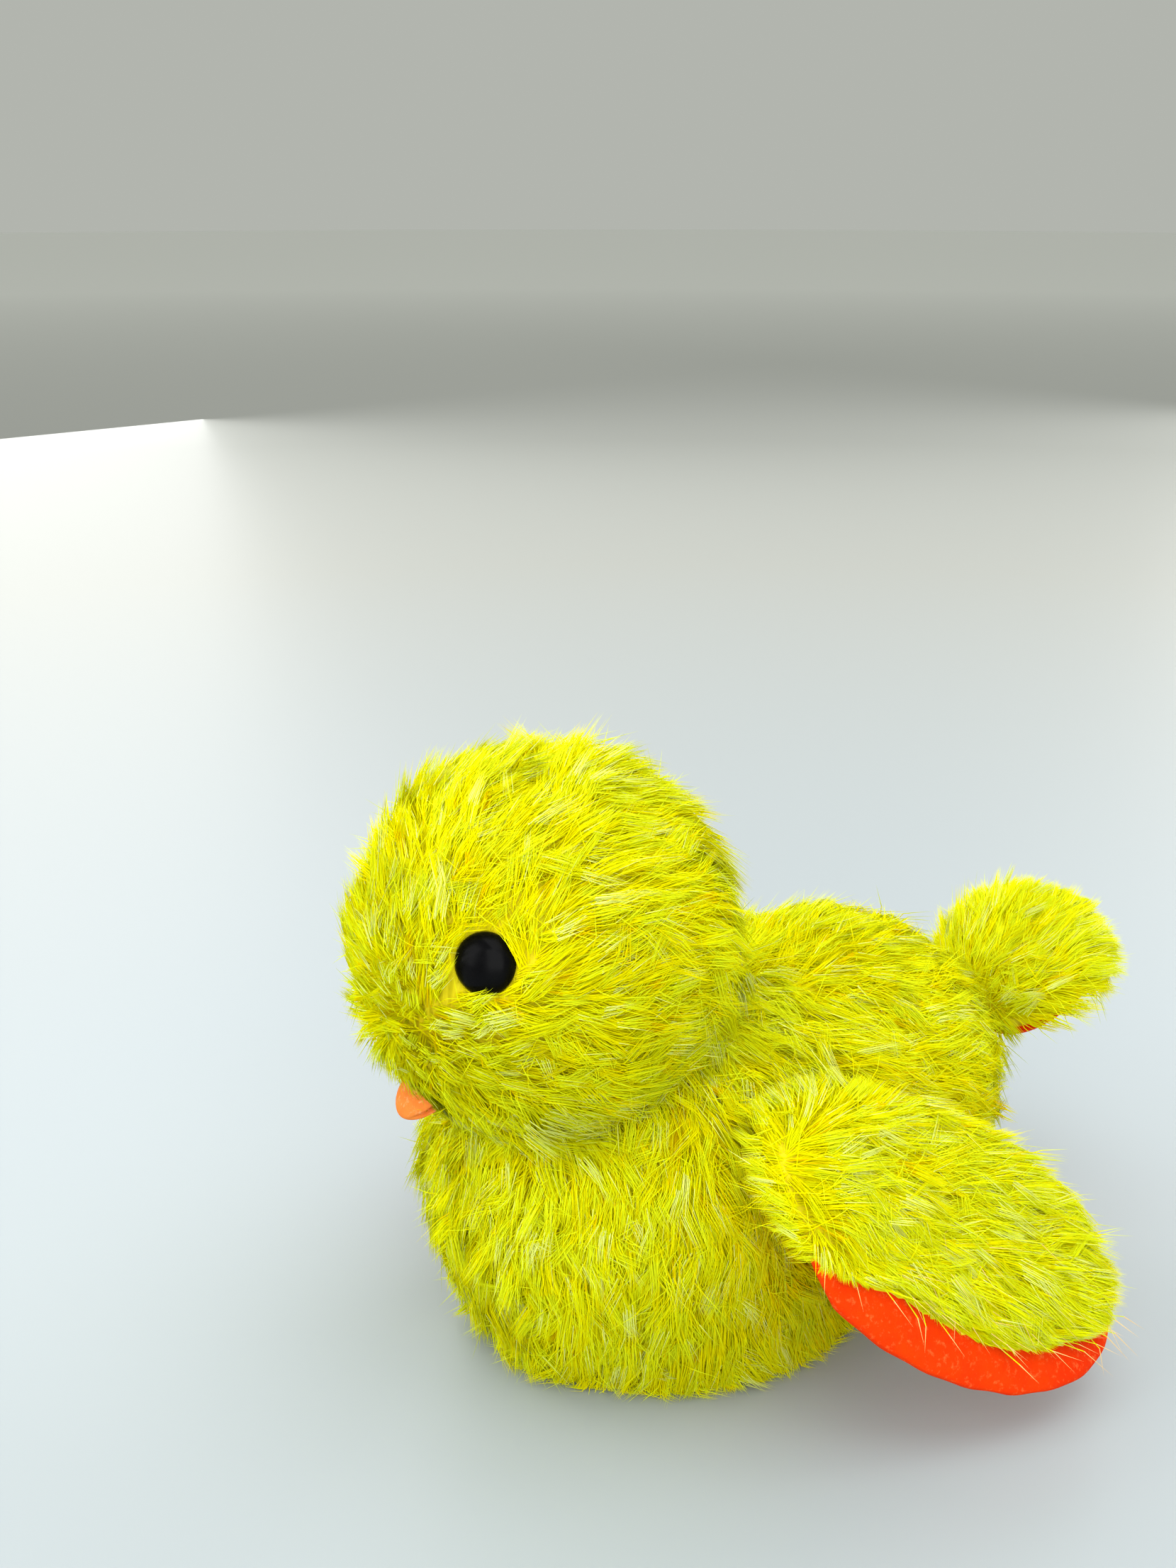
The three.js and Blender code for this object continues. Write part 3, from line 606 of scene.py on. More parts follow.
def plastic_finish(name, colour, rough):
    """Moulded plastic: faint flow clouds, fine mould texture, gloss that is rubbed in places."""
    m, nt, bsdf, place = shader(name)
    a, b = tuple(0.94 * c for c in colour), tuple(min(1, 1.06 * c) for c in colour)
    nt.links.new(blend_colours(nt, noise(nt, place, 90.0, 3.0), a, b, 0.3, 0.7),
                 bsdf.inputs["Base Color"])
    wear = noise(nt, place, 240.0, 6.0, 0.7)
    nt.links.new(spread(nt, wear, rough, rough + 0.35, 0.42, 0.72), bsdf.inputs["Roughness"])
    relief(nt, noise(nt, place, 2600.0, 2.0), bsdf, 0.12, 0.04)
    return m


def bead_finish(name, colour):
    """Black bead: dead black and smooth, with faint rubbed haze."""
    m, nt, bsdf, place = shader(name)
    bsdf.inputs["Base Color"].default_value = (*colour, 1)
    bsdf.inputs["Specular IOR Level"].default_value = 0.06
    haze = noise(nt, place, 700.0, 4.0)
    nt.links.new(spread(nt, haze, 0.18, 0.34), bsdf.inputs["Roughness"])
    relief(nt, haze, bsdf, 0.05, 0.02)
    return m


def metal_finish(name, colour, tarnish, rough):
    """Pressed or turned metal: fine drawn lines with clouds of tarnish."""
    m, nt, bsdf, place = shader(name)
    bsdf.inputs["Metallic"].default_value = 1.0
    stretch = nt.nodes.new("ShaderNodeMapping")
    stretch.inputs["Scale"].default_value = (14.0, 1.0, 1.0)
    nt.links.new(place, stretch.inputs["Vector"])
    lines = noise(nt, stretch.outputs["Vector"], 420.0, 4.0, 0.5)
    nt.links.new(blend_colours(nt, noise(nt, place, 180.0, 5.0), tarnish, colour, 0.36, 0.55),
                 bsdf.inputs["Base Color"])
    nt.links.new(spread(nt, lines, rough, rough + 0.22), bsdf.inputs["Roughness"])
    relief(nt, lines, bsdf, 0.15, 0.04)
    return m


# ---------------------------------------------------------------- settings


def colour(name, description, default):
    """A colour that can be changed in the sidebar."""
    return bpy.props.FloatVectorProperty(name=name, description=description, default=default,
                                         subtype="COLOR", size=3, min=0, max=1)


def fibres(place, default):
    """How many fibres a piece of pile has."""
    return bpy.props.IntProperty(name=f"{place} fibres", default=default, min=500,
                                 description=f"Fibres in the pile of the {place.lower()}")


class PlushSettings(bpy.types.PropertyGroup):
    """Sizes and colours of the fur fabric: its dyes, a partly painted sheen and a painted felt
    reflection.
    """

    head_fibres: fibres("Head", 39600)
    body_fibres: fibres("Body", 79200)
    wing_fibres: fibres("Wing", 19800)      # of one wing
    tail_fibres: fibres("Tail", 13500)
    pile_length: bpy.props.FloatProperty(
        name="Pile length", description="Length of a fibre from the backing to its tip",
        default=0.0066, min=0.003, max=0.02, unit="LENGTH")
    fibre_radius: bpy.props.FloatProperty(
        name="Fibre radius", description="Radius of a drawn fibre bundle at its root",
        default=0.000058, min=0.00002, max=0.0004, unit="LENGTH", precision=6)
    root_dye: colour("Root dye", "Colour of the pile near the backing", (0.85, 0.60, 0.0))
    middle_dye: colour("Middle dye", "Colour of the pile half way up", (0.85, 0.77, 0.0003))
    bright_dye: colour("Bright dye", "Brighter yellow of the upper pile", (0.80, 0.82, 0.002))
    tip_dye: colour("Tip dye", "Pale yellow of the tips", (0.77, 0.85, 0.010))
    # Palest tips: partly a paler dye and partly painted sheen of the lit fibre tips.
    pale_tip_and_sheen: colour("Bleached tip", "Palest tips, where the dye has not taken",
                         (0.82, 0.90, 0.20))
    # Orange upper tone of the strands over the felt rim: painted reflection of the orange felt,
    # not a dye.
    fringe_felt_reflection: colour("Fringe tip", "Tips over the felt rim, which take its colour",
                       (0.98, 0.66, 0.22))


class FeltSettings(bpy.types.PropertyGroup):
    """Felt of the wings, tail and beak."""

    felt_colour: colour("Felt", "Main colour of the felt", (0.96, 0.052, 0.001))
    beak_colour: colour("Beak felt", "Colour of the beak", (0.86, 0.25, 0.045))
    felt_wall: bpy.props.FloatProperty(
        name="Felt thickness", description="Thickness of the felt sheet", default=0.0013,
        min=0.0005, max=0.003, unit="LENGTH")


class HardSettings(bpy.types.PropertyGroup):
    """Colours of the moulded and metal pieces."""

    orange: colour("Orange plastic", "Feet, base and key", (0.80, 0.23, 0.012))
    ivory: colour("Case plastic", "Movement case", (0.80, 0.77, 0.66))


class StageSettings(bpy.types.PropertyGroup):
    """Floor, light and camera."""

    floor_colour: colour("Floor", "Colour of the floor near the toy", (0.385, 0.43, 0.455))
    far_colour: colour("Background", "Colour of the floor behind the toy", (0.40, 0.41, 0.385))
    horizon_colour: colour("Horizon", "Colour of the floor at its far edge", (0.95, 0.96, 0.93))
    world_colour: colour("Studio", "Colour of the studio all round", (0.59, 0.61, 0.56))
    exposure: bpy.props.FloatProperty(
        name="Exposure", description="Exposure of the picture, in stops", default=-0.40,
        min=-4, max=4)
    lens: bpy.props.FloatProperty(
        name="Lens", description="Focal length of the camera", default=48.8, min=10,
        unit="CAMERA")


def palette():
    """The pile's tones, dyes and painted light, in the order that the dye table names them."""
    s = bpy.context.scene.chick_plush
    made = []
    for name in ("root_dye", "middle_dye", "bright_dye", "tip_dye", "pale_tip_and_sheen",
                 "fringe_felt_reflection"):
        made.append(bpy.data.materials.get("pile_" + name)
                    or pile_finish("pile_" + name, tuple(getattr(s, name))))
    return made


def kept(name, make, *args):
    """A material that several pieces share."""
    return bpy.data.materials.get(name) or make(name, *args)


def knit():
    return kept("knitted_backing", knit_finish, (0.80, 0.64, 0.004), (0.88, 0.76, 0.01))


def wing_felt_finish():
    c = tuple(bpy.context.scene.chick_felt.felt_colour)
    return kept("wing_felt", felt_finish, (c[0] * 0.92, c[1] * 0.66, c[2]), c, (1.0, 0.22, 0.05))


def soft(o, body, replaced=()):
    """Puts a piece on its body, and hides the parts that it stands for."""
    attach(o, body)
    if replaced:
        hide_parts(*replaced)
    return o


# ---------------------------------------------------------------- head


def eye_axes():
    """Directions of the left and the right eye from the middle of the head."""
    d = unit(EYE_DIR)
    return {"left": d, "right": d * np.array([-1.0, 1.0, 1.0])}


# Directions from the middle of the head: the pile runs away from the face, and stands
# fuller over the crown and the brow
FACE = unit(np.array([0.0, -0.95, -0.22]))
CROWN, BROW = unit(np.array([0.25, 0.1, 1])), unit(np.array([-0.35, -0.8, 0.6]))
FACE_Y = -24.0                  # only pile in front of this gives way to the beak


def head_lay(p, n):
    """Way the pile of the head lies: away from the face, round the eyes, down the nape."""
    d = unit(p - HEAD_C)
    way = along_surface(d - FACE, n)
    back = np.clip((d @ np.array([0.0, 0.9, 0.2])) * 1.3 + 0.1, 0, 1)[:, None]
    way = way * (1 - back) + back * along_surface(np.array([0.0, 0.35, -1.0]) + 0 * p, n)
    for axis in eye_axes().values():
        away = p - HEAD_C
        away = away - (away @ axis)[:, None] * axis
        far = np.linalg.norm(away, axis=1)
        front = ((p - HEAD_C) @ axis > 0)
        pull = 0.9 * hump(far, 4.5) * front
        way = way + pull[:, None] * unit(away)
    rel = p - BEAK_ROOT
    rel = rel - (rel @ beak_axes()[0])[:, None] * beak_axes()[0]
    pull = 1.5 * hump(np.linalg.norm(rel, axis=1), 5.0) * (p[:, 1] < FACE_Y)
    way = way + pull[:, None] * unit(rel)
    near = hump(np.linalg.norm(d - FACE, axis=1), 0.4)[:, None]
    way = way + (0.42 + 0.8 * near) * wander(p, 11.0, 11) + 0.25 * wander(p, 5.0, 21)
    return along_surface(way, n)


class CHICK_OT_head(bpy.types.Operator):
    """Make the backing and pile of the head"""

    bl_idname = "chick.head"
    bl_label = "Head Plush"

    def execute(self, context):
        s = context.scene.chick_plush
        rng = np.random.default_rng(101)
        bm = ball_skin(HEAD_C, head_cloth, 6)
        trim(bm, NECK_P, -NECK_N)
        roots, normals = skin_points(bm, s.head_fibres, rng)
        backing = shell(piece("head_backing", bm, [knit()]), WALL)
        soft(backing, "chick")

        length = s.pile_length / MM * (1 + 0.19 * ripple(roots, 7.5, 5))
        lift = 52 + 9 * ripple(roots, 8.0, 7)
        fall = -2 + 10 * ripple(roots, 8.0, 9)

        def around(way, width):
            return hump(np.linalg.norm(unit(roots - HEAD_C) - way, axis=1), width)

        fall = fall + 22 * around(CROWN, 0.45)
        fall = fall + 16 * around(BROW, 0.35)
        face = around(FACE, 0.42)
        lift, fall, length = lift + 6 * face, fall + 22 * face, length * (1 - 0.2 * face)
        pole = around(FACE, 0.2)
        lift, fall = lift + 8 * pole, fall + 10 * pole      # the parting closes over
        _, far = beside(roots, BEAK_ROOT, beak_axes()[0])
        close = hump(far, 6.5) * (roots[:, 1] < FACE_Y)
        length = length * (1 - 0.62 * close)
        keep = np.ones(len(roots), bool)
        for axis in eye_axes().values():
            front, far = beside(roots, HEAD_C, axis)
            close = hump(far, 5.0) * (front > 0)
            length = length * (1 - 0.38 * close)
            lift = lift - 8 * close
            keep &= ~((far < EYE_R) & (front > 0))
        lay = head_lay(roots, normals)
        paths, heights, near, loose = comb(roots, normals, lay, length, lift, fall, rng)
        paths = hug(paths, heights, head_field, ROOTS)
        for axis in eye_axes().values():
            front, far = beside(paths, HEAD_C, axis)
            for ring, slack in ((1, 0.2), (2, 1.0)):
                keep &= ~((far[:, ring] < EYE_R - slack) & (front[:, ring] > 15))
        paths = push_out(paths, beak_field, 0.12)
        keep &= beak_field(roots) >= 0.1
        pale = ripple(roots, 7.0, 31) > 0.1
        tones = dye(near, loose, pale, rng, DYE_SHARES["head"])
        thick = thickness(s, rng, len(roots))
        for side, mask in (("left", roots[:, 0] >= 0), ("right", roots[:, 0] < 0)):
            m = mask & keep
            pile(f"head_pile_{side}", "chick", f"head_cover_{side}",
                 paths[m], normals[m], thick[m], tones[m])
        return {"FINISHED"}


# ---------------------------------------------------------------- body


def body_lay(p, n):
    """Way the pile of the body lies: down the chest, back and down over the rump."""
    back = np.clip((p[:, 1] + 8) / 30, 0, 1)[:, None]
    way = (1 - back) * np.array([0.0, 0.10, -1.0]) + back * np.array([0.0, 0.85, -0.5])
    out = unit(p * np.array([1.0, 1.0, 0.0]) - np.array([0.0, 3.0, 0.0]))
    way = way + (0.45 - 0.25 * np.clip(1 - p[:, 2:] / 12.0, 0, 1)) * out
    ring = p[:, 1:] - KEY_YZ
    far = np.linalg.norm(ring, axis=1)
    pull = 2.0 * hump(far, 7.0) * (p[:, 0] < KEY_SIDE)
    way[:, 1:] += pull[:, None] * unit(ring)
    way = way + 0.40 * wander(p, 12.0, 41) + 0.25 * wander(p, 5.0, 51)
    return along_surface(way, n)


class CHICK_OT_body(bpy.types.Operator):
    """Make the backing and pile of the body"""

    bl_idname = "chick.body"
    bl_label = "Body Plush"

    def execute(self, context):
        s = context.scene.chick_plush
        rng = np.random.default_rng(202)
        bm = ball_skin(BODY_CORE, body_cloth, 6)
        trim(bm, NECK_P, NECK_N)
        trim(bm, (0, 0, HEM_Z), (0, 0, -1))

        def parted(p):
            key = np.hypot(p[:, 1] - KEY_YZ[0], p[:, 2] - KEY_YZ[1])
            return np.where((key < KEY_CLEAR - 0.3) & (p[:, 0] < KEY_SIDE), 0.0, 1.0)

        roots, normals = skin_points(bm, s.body_fibres, rng, parted)
        backing = shell(piece("body_backing", bm, [knit()]), WALL)
        soft(backing, "chick")

        length = s.pile_length / MM * (1 + 0.19 * ripple(roots, 8.0, 15))
        lift = 50 + 9 * ripple(roots, 9.0, 17)
        fall = -3 + 9 * ripple(roots, 9.0, 19)
        hem = np.clip(1 - roots[:, 2] / 9.0, 0, 1)
        lift, fall = lift - 14 * hem, fall + 2 * hem
        key = np.hypot(roots[:, 1] - KEY_YZ[0], roots[:, 2] - KEY_YZ[1])
        close = hump(key, 8.0) * (roots[:, 0] < KEY_SIDE)
        length = length * (1 - 0.45 * close)
        lay = body_lay(roots, normals)
        paths, heights, near, loose = comb(roots, normals, lay, length, lift, fall, rng)
        paths = hug(paths, heights, body_field, ROOTS)
        for _ in range(3):
            paths = push_out(paths, wing_bed, 0.35)
            paths = push_out(paths, key_field, 0.1)
        low = paths[:, :, 2] < FLOOR_GAP
        paths[:, :, 2] = np.where(low, FLOOR_GAP + 0.1 * rng.random(low.shape), paths[:, :, 2])
        pale = ripple(roots, 7.0, 33) > 0.1
        tones = dye(near, loose, pale, rng, DYE_SHARES["body"])
        thick = thickness(s, rng, len(roots))
        seam = np.median(roots[:, 0])           # the same number of fibres on both sides
        for side, half in (("left", roots[:, 0] >= seam), ("right", roots[:, 0] < seam)):
            middle = np.median(roots[half, 1])
            for end, mask in (("front", roots[:, 1] < middle), ("rear", roots[:, 1] >= middle)):
                m = half & mask
                pile(f"body_pile_{side}_{end}", "chick", f"body_cover_{side}",
                     paths[m], normals[m], thick[m], tones[m])
        return {"FINISHED"}


# ---------------------------------------------------------------- eyes and beak


def beak_axes():
    way = unit(BEAK_TIP - BEAK_ROOT)
    across = np.array([1.0, 0.0, 0.0])
    return way, across, np.cross(way, across)


def beak_field(p):
    """Distance from the felt beak, negative inside."""
    way, across, out = beak_axes()
    q = p - (BEAK_ROOT + BEAK_TIP) / 2
    local = np.stack([q @ across, q @ way, q @ out], axis=1)
    return ellipsoid(local, np.zeros(3), np.array([3.9, 4.6, 1.9]))


class CHICK_OT_face(bpy.types.Operator):
    """Make the bead eyes and the felt beak"""

    bl_idname = "chick.face"
    bl_label = "Eyes and Beak"

    def execute(self, context):
        for side, axis in eye_axes().items():
            bm = bmesh.new()
            profile = [(0.0, 19.0), (1.0, 18.92), (1.9, 18.66), (2.55, 18.25), (2.9, 17.8),
                       (3.0, 17.45), (2.92, 17.15), (2.7, 17.05), (1.1, 17.05), (1.1, 12.1),
                       (0.9, 11.95), (0.0, 11.95)]
            line = [bm.verts.new((r, 0, z)) for r, z in profile]
            for a, b in zip(line, line[1:]):
                bm.edges.new((a, b))
            bmesh.ops.spin(bm, geom=bm.verts[:] + bm.edges[:], cent=(0, 0, 0), axis=(0, 0, 1),
                           angle=2 * math.pi, steps=48, use_merge=True)
            bmesh.ops.remove_doubles(bm, verts=bm.verts, dist=1e-4)
            bmesh.ops.recalc_face_normals(bm, faces=bm.faces)
            turn = Vector((0, 0, 1)).rotation_difference(Vector(axis)).to_matrix().to_4x4()
            bmesh.ops.transform(bm, matrix=Matrix.Translation(Vector(HEAD_C)) @ turn,
                                verts=bm.verts)
            o = piece(f"{side}_eye_bead", bm,
                      [kept("black_bead", bead_finish, (0.002, 0.002, 0.0025))])
            soft(o, "chick", (f"{side}_eye",))

        way, across, out = beak_axes()
        bm = bmesh.new()
        bmesh.ops.create_icosphere(bm, subdivisions=5, radius=1.0)
        for v in bm.verts:
            a, b, c = v.co
            full = 1 + 0.10 * b - 0.18 * b * b
            pinch = 1 - 0.35 * math.exp(-((c / 0.16) ** 2)) * (abs(a) ** 3)
            bow = 0.35 * (1 - a * a) - 0.25 * b * b
            p = (across * (3.55 * a * full * pinch) + way * (4.0 * b * pinch - 0.3)
                 + out * (1.35 * c + 0.3 * bow))
            v.co = Vector((BEAK_ROOT + BEAK_TIP) / 2 + p)
        c = tuple(context.scene.chick_felt.beak_colour)
        finish = kept("beak_felt", felt_finish, (c[0] * 0.85, c[1] * 0.6, c[2] * 0.5), c,
                      (0.95, 0.55, 0.25))
        o = piece("beak_tongue", bm, [finish])
        soft(o, "chick", ("beak",))
        return {"FINISHED"}


# ---------------------------------------------------------------- wings and tail


def mirrored(leaf):
    flip = np.array([-1.0, 1.0, 1.0])
    return {**leaf, "root": leaf["root"] * flip, "u": leaf["u"] * flip, "n": leaf["n"] * flip}


def leaf_ab(p, leaf):
    """Place on a leaf: -1 to 1 along it and across it."""
    u, _, w = leaf_axes(leaf)
    q = p - leaf["root"]
    half = leaf["length"] / 2
    return (q @ u - half) / half, (q @ w) / (leaf["width"] / 2)


def leaf_edge(p, leaf, lower):
    """How far points are inside a leaf's outline, how much felt shows at that part of it, and
    how much that part is the sewn front, where the pile rolls over the rim."""
    u, _, w = leaf_axes(leaf)
    q = p - leaf["root"]
    half = leaf["length"] / 2
    x, y = q @ u - half, q @ w
    a = x / half
    b = y / (leaf["width"] / 2 * np.clip(1 + 0.06 * a - 0.1 * a * a, 0.3, 2))
    r = np.maximum(np.hypot(a, b), 1e-6)
    inside = (1 - r) * np.hypot(x, y) / r
    turn = np.degrees(np.arctan2(y * lower, x))
    shows = np.clip((turn + 14) / 30, 0, 1) * np.clip((150 - turn) / 34, 0, 1)
    return inside, shows, np.clip((np.abs(turn) - 126) / 24, 0, 1)


def border(shows):
    """How far inside the outline the fur fabric is sewn down."""
    return 1.1 + 3.7 * shows


def shortened(paths, roots, normals, allowed):
    """Draws fibres in until allowed(tips) holds, keeping most of their height."""
    size = np.ones(len(paths))
    rel = paths - roots[:, None, :]
    high = (rel * normals[:, None, :]).sum(-1, keepdims=True) * normals[:, None, :]
    flat = rel - high
    for f in (0.85, 0.72, 0.60, 0.48, 0.38, 0.28, 0.18):
        tips = roots + flat[:, -1] * size[:, None] + high[:, -1]
        size = np.where(allowed(tips), size, f)
    k = size[:, None, None]
    return roots[:, None, :] + flat * k + high * (0.45 + 0.55 * k)


def open_where(bm, test):
    """Deletes the faces whose middles pass the test."""
    mids = np.array([f.calc_center_median()[:] for f in bm.faces])
    gone = test(mids)
    bmesh.ops.delete(bm, geom=[f for f, g in zip(bm.faces[:], gone) if g], context="FACES")


class CHICK_OT_wings(bpy.types.Operator):
    """Make the backing, pile and felt of both wings"""

    bl_idname = "chick.wings"
    bl_label = "Wings"

    def execute(self, context):
        s = context.scene.chick_plush
        for side, leaf in (("left", WING), ("right", mirrored(WING))):
            rng = np.random.default_rng(303)
            u, n, w = leaf_axes(leaf)
            lower = -1.0 if side == "left" else 1.0     # which way across is down

            def bare(p, slack=0.0):
                inside, shows, _ = leaf_edge(p, leaf, lower)
                return inside < border(shows) - slack

            bm = leaf_ball(leaf, 0.4, 2.5, 1.0)
            trim(bm, leaf["root"] + 0.15 * n, -n)
            open_where(bm, lambda p: bare(p, 0.3))
            roots, normals = skin_points(bm, s.wing_fibres, rng, lambda p: 1.0 * ~bare(p))
            o = shell(piece(f"{side}_wing_backing", bm, [knit()]), WALL)
            soft(o, f"{side}_wing")

            _, b = leaf_ab(roots, leaf)
            inside, shows, front = leaf_edge(roots, leaf, lower)
            down = np.clip(b * lower, 0, 1)
            lay = u + (0.35 * b)[:, None] * w + 0.30 * wander(roots, 11.0, 61) \
                + 0.2 * wander(roots, 5.0, 71)
            lay = lay + (0.35 * down ** 2)[:, None] * (w * lower)
            q = roots - leaf["root"] - u * leaf["length"] / 2
            rim = (front * np.clip(1.5 - inside / 3.5, 0, 1))[:, None]
            lay = lay * (1 - 0.85 * rim) + rim * unit(q - (q @ n)[:, None] * n)
            lay = along_surface(lay, normals)
            length = s.pile_length / MM * 0.95 * (1 + 0.1 * ripple(roots, 9.0, 65))
            length = length * (1 - 0.2 * shows * np.clip(1.6 - inside / 4, 0, 1))
            lift = 42 + 8 * ripple(roots, 8.0, 67)
            fall = -4 + 8 * ripple(roots, 8.0, 69)
            paths, _, near, loose = comb(roots, normals, lay, length, lift, fall, rng, stray=0.08)
            fringe = rng.random(len(roots)) < 0.02

            def allowed(tips):
                e, m, f = leaf_edge(tips, leaf, lower)
                return (e > (border(m) - 1.0) * m + 0.3 - 3.0 * f) | fringe

            paths = shortened(paths, roots, normals, allowed)
            pale = (ripple(roots, 7.0, 73) > 0.1) | (down > 0.8)
            tones = dye(near, loose, pale, rng, DYE_SHARES["wing"])
            # Strands that hang over the bare felt rim get orange tips: painted reflection of the
            # felt.
            tones[fringe & (shows > 0.3)] = DYE[FRINGE]
            thick = thickness(s, rng, len(roots))
            pile(f"{side}_wing_pile", f"{side}_wing", f"{side}_wing_fur",
                 paths, normals, thick, tones)

            bm = leaf_ball(leaf, 0.0, 2.4, leaf["felt"])
            open_where(bm, lambda p: ~bare(p, -0.9) & (((p - leaf["root"]) @ n) > 0))
            co = np.array([v.co[:] for v in bm.verts])
            bm.normal_update()
            no = np.array([v.normal[:] for v in bm.verts])
            co = co + no * (0.08 * ripple(co, 5.0, 81) - 0.05)[:, None]
            inside, _, front = leaf_edge(co, leaf, lower)
            q = co - leaf["root"] - u * leaf["length"] / 2
            draw = 2.2 * front * np.clip(1.2 - inside / 5, 0, 1)
            co = co - draw[:, None] * unit(q - (q @ n)[:, None] * n)
            for v, p in zip(bm.verts, co):
                v.co = p
            o = shell(piece(f"{side}_wing_felt_face", bm, [wing_felt_finish()]),
                      context.scene.chick_felt.felt_wall / MM)
            soft(o, f"{side}_wing", (f"{side}_wing_felt",))
        return {"FINISHED"}


def blunt(bm, leaf):
    """Fills out the sewn half of a leaf, so it meets the body broad and not as a point."""
    u, n, w = leaf_axes(leaf)
    half = leaf["length"] / 2
    for v in bm.verts:
        q = np.array(v.co[:]) - leaf["root"]
        a = min((q @ u - half) / half, 0.0)
        grow = 1 / math.sqrt(max(1 - 0.75 * a * a, 0.25))
        v.co = Vector(leaf["root"] + (q @ u) * u + grow * ((q @ n) * n + (q @ w) * w))
    return bm


class CHICK_OT_tail(bpy.types.Operator):
    """Make the pile and felt of the tail"""

    bl_idname = "chick.tail"
    bl_label = "Tail"

    def execute(self, context):
        s = context.scene.chick_plush
        rng = np.random.default_rng(404)
        u, n, w = leaf_axes(TAIL)
        bm = blunt(leaf_ball(TAIL, 1.4, 4.2, 4.2, 5), TAIL)

        def under(p):
            """Where the tail's felt is bare of pile: below, and a little over the left rim."""
            a, _ = leaf_ab(p, TAIL)
            b = p[:, 0] / (TAIL["width"] / 2) - 0.2
            return (((p - TAIL["root"]) @ n) < 0.4) & (np.hypot(a + 0.45, b) < 0.85)

        roots, normals = skin_points(bm, s.tail_fibres, rng, lambda p: 1.0 * ~under(p))
        o = piece("tail_backing", bm, [knit()])
        soft(o, "tail")
        a, b = leaf_ab(roots, TAIL)
        below = ((roots - TAIL["root"]) @ n < 0.3)
        lay = (u + (0.85 * b)[:, None] * w + 0.35 * wander(roots, 8.0, 91)
               - (0.35 + 0.55 * np.abs(b) + 0.7 * below)[:, None] * n)
        lay = along_surface(lay, normals)
        length = s.pile_length / MM * 0.92 * (1 + 0.1 * ripple(roots, 8.0, 95))
        length = (length * (1 - 0.75 * np.clip(a, 0, 1))
                  * (1 - 0.3 * np.clip(-a, 0, 1) ** 2))     # shorter at the tip and the root
        lift = 50 + 8 * ripple(roots, 8.0, 97)
        fall = 4 + 8 * ripple(roots, 8.0, 99)
        paths, _, near, loose = comb(
            roots, normals, lay, length, lift, fall, rng, lock_size=16, stray=0.10)
        pale = ripple(roots, 7.0, 93) > 0
        tones = dye(near, loose, pale, rng, DYE_SHARES["tail"])
        thick = thickness(s, rng, len(roots))
        pile("tail_pile", "tail", "tail_fur", paths, normals, thick, tones)

        bm = blunt(leaf_ball(TAIL, 0.9, 1.0, 5.0, 5), TAIL)
        trim(bm, TAIL["root"] - 1.5 * n, n)
        bmesh.ops.holes_fill(bm, edges=[e for e in bm.edges if e.is_boundary], sides=0)
        o = piece("tail_felt_face", bm, [wing_felt_finish()])
        soft(o, "tail", ("tail_felt",))
        return {"FINISHED"}


# ---------------------------------------------------------------- stuffing


class CHICK_OT_stuffing(bpy.types.Operator):
    """Make the wadding of the head, the body and the wings"""

    bl_idname = "chick.stuffing"
    bl_label = "Stuffing"

    def execute(self, context):
        finish = kept("white_wadding", wadding_finish)
        for node, body, fill in (("head_stuffing", "chick", 0.7), ("body_stuffing", "chick", 0.5),
                                 ("left_wing_padding", "left_wing", 0.6),
                                 ("right_wing_padding", "right_wing", 0.6)):
            bm = bmesh.new()
            bm.from_mesh(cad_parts[node].data)
            bmesh.ops.remove_doubles(bm, verts=bm.verts, dist=1e-6)
            o = piece(node.replace("stuffing", "wadding").replace("padding", "wadding"), bm,
                      [finish], drawn=False)
            m = o.modifiers.new("loft", "REMESH")
            m.mode = "VOXEL"
            m.voxel_size = 0.8 * MM
            m.use_smooth_shade = True
            soft(o, body, (node,))
        return {"FINISHED"}


# ---------------------------------------------------------------- hard pieces


class CHICK_OT_hard(bpy.types.Operator):
    """Give the movement, feet, base and key their moulded and metal finishes"""

    bl_idname = "chick.hard"
    bl_label = "Movement and Feet"

    def execute(self, context):
        s = context.scene.chick_hard
        orange = kept("orange_plastic", plastic_finish, tuple(s.orange), 0.32)
        ivory = kept("ivory_plastic", plastic_finish, tuple(s.ivory), 0.38)
        steel = kept("bright_steel", metal_finish, (0.62, 0.63, 0.65), (0.40, 0.40, 0.41), 0.24)
        brass = kept("rolled_brass", metal_finish, (0.78, 0.56, 0.22), (0.52, 0.35, 0.12), 0.26)
        for finish, names in (
                (ivory, "movement_case_left movement_case_right"),
                (orange, "base_plate winding_key left_leg right_leg"),
                (brass, "key_eyelet great_wheel second_wheel crank_pinion"),
                (steel, "case_screw_1 case_screw_2 case_screw_3 base_screw_1 base_screw_2 "
                        "mainspring winding_arbor left_crank right_crank leg_tie_rod "
                        "leg_pivot_pin left_eye_washer right_eye_washer")):
            for name in names.split():
                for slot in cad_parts[name].material_slots:
                    slot.material = finish
        return {"FINISHED"}


# ---------------------------------------------------------------- stage


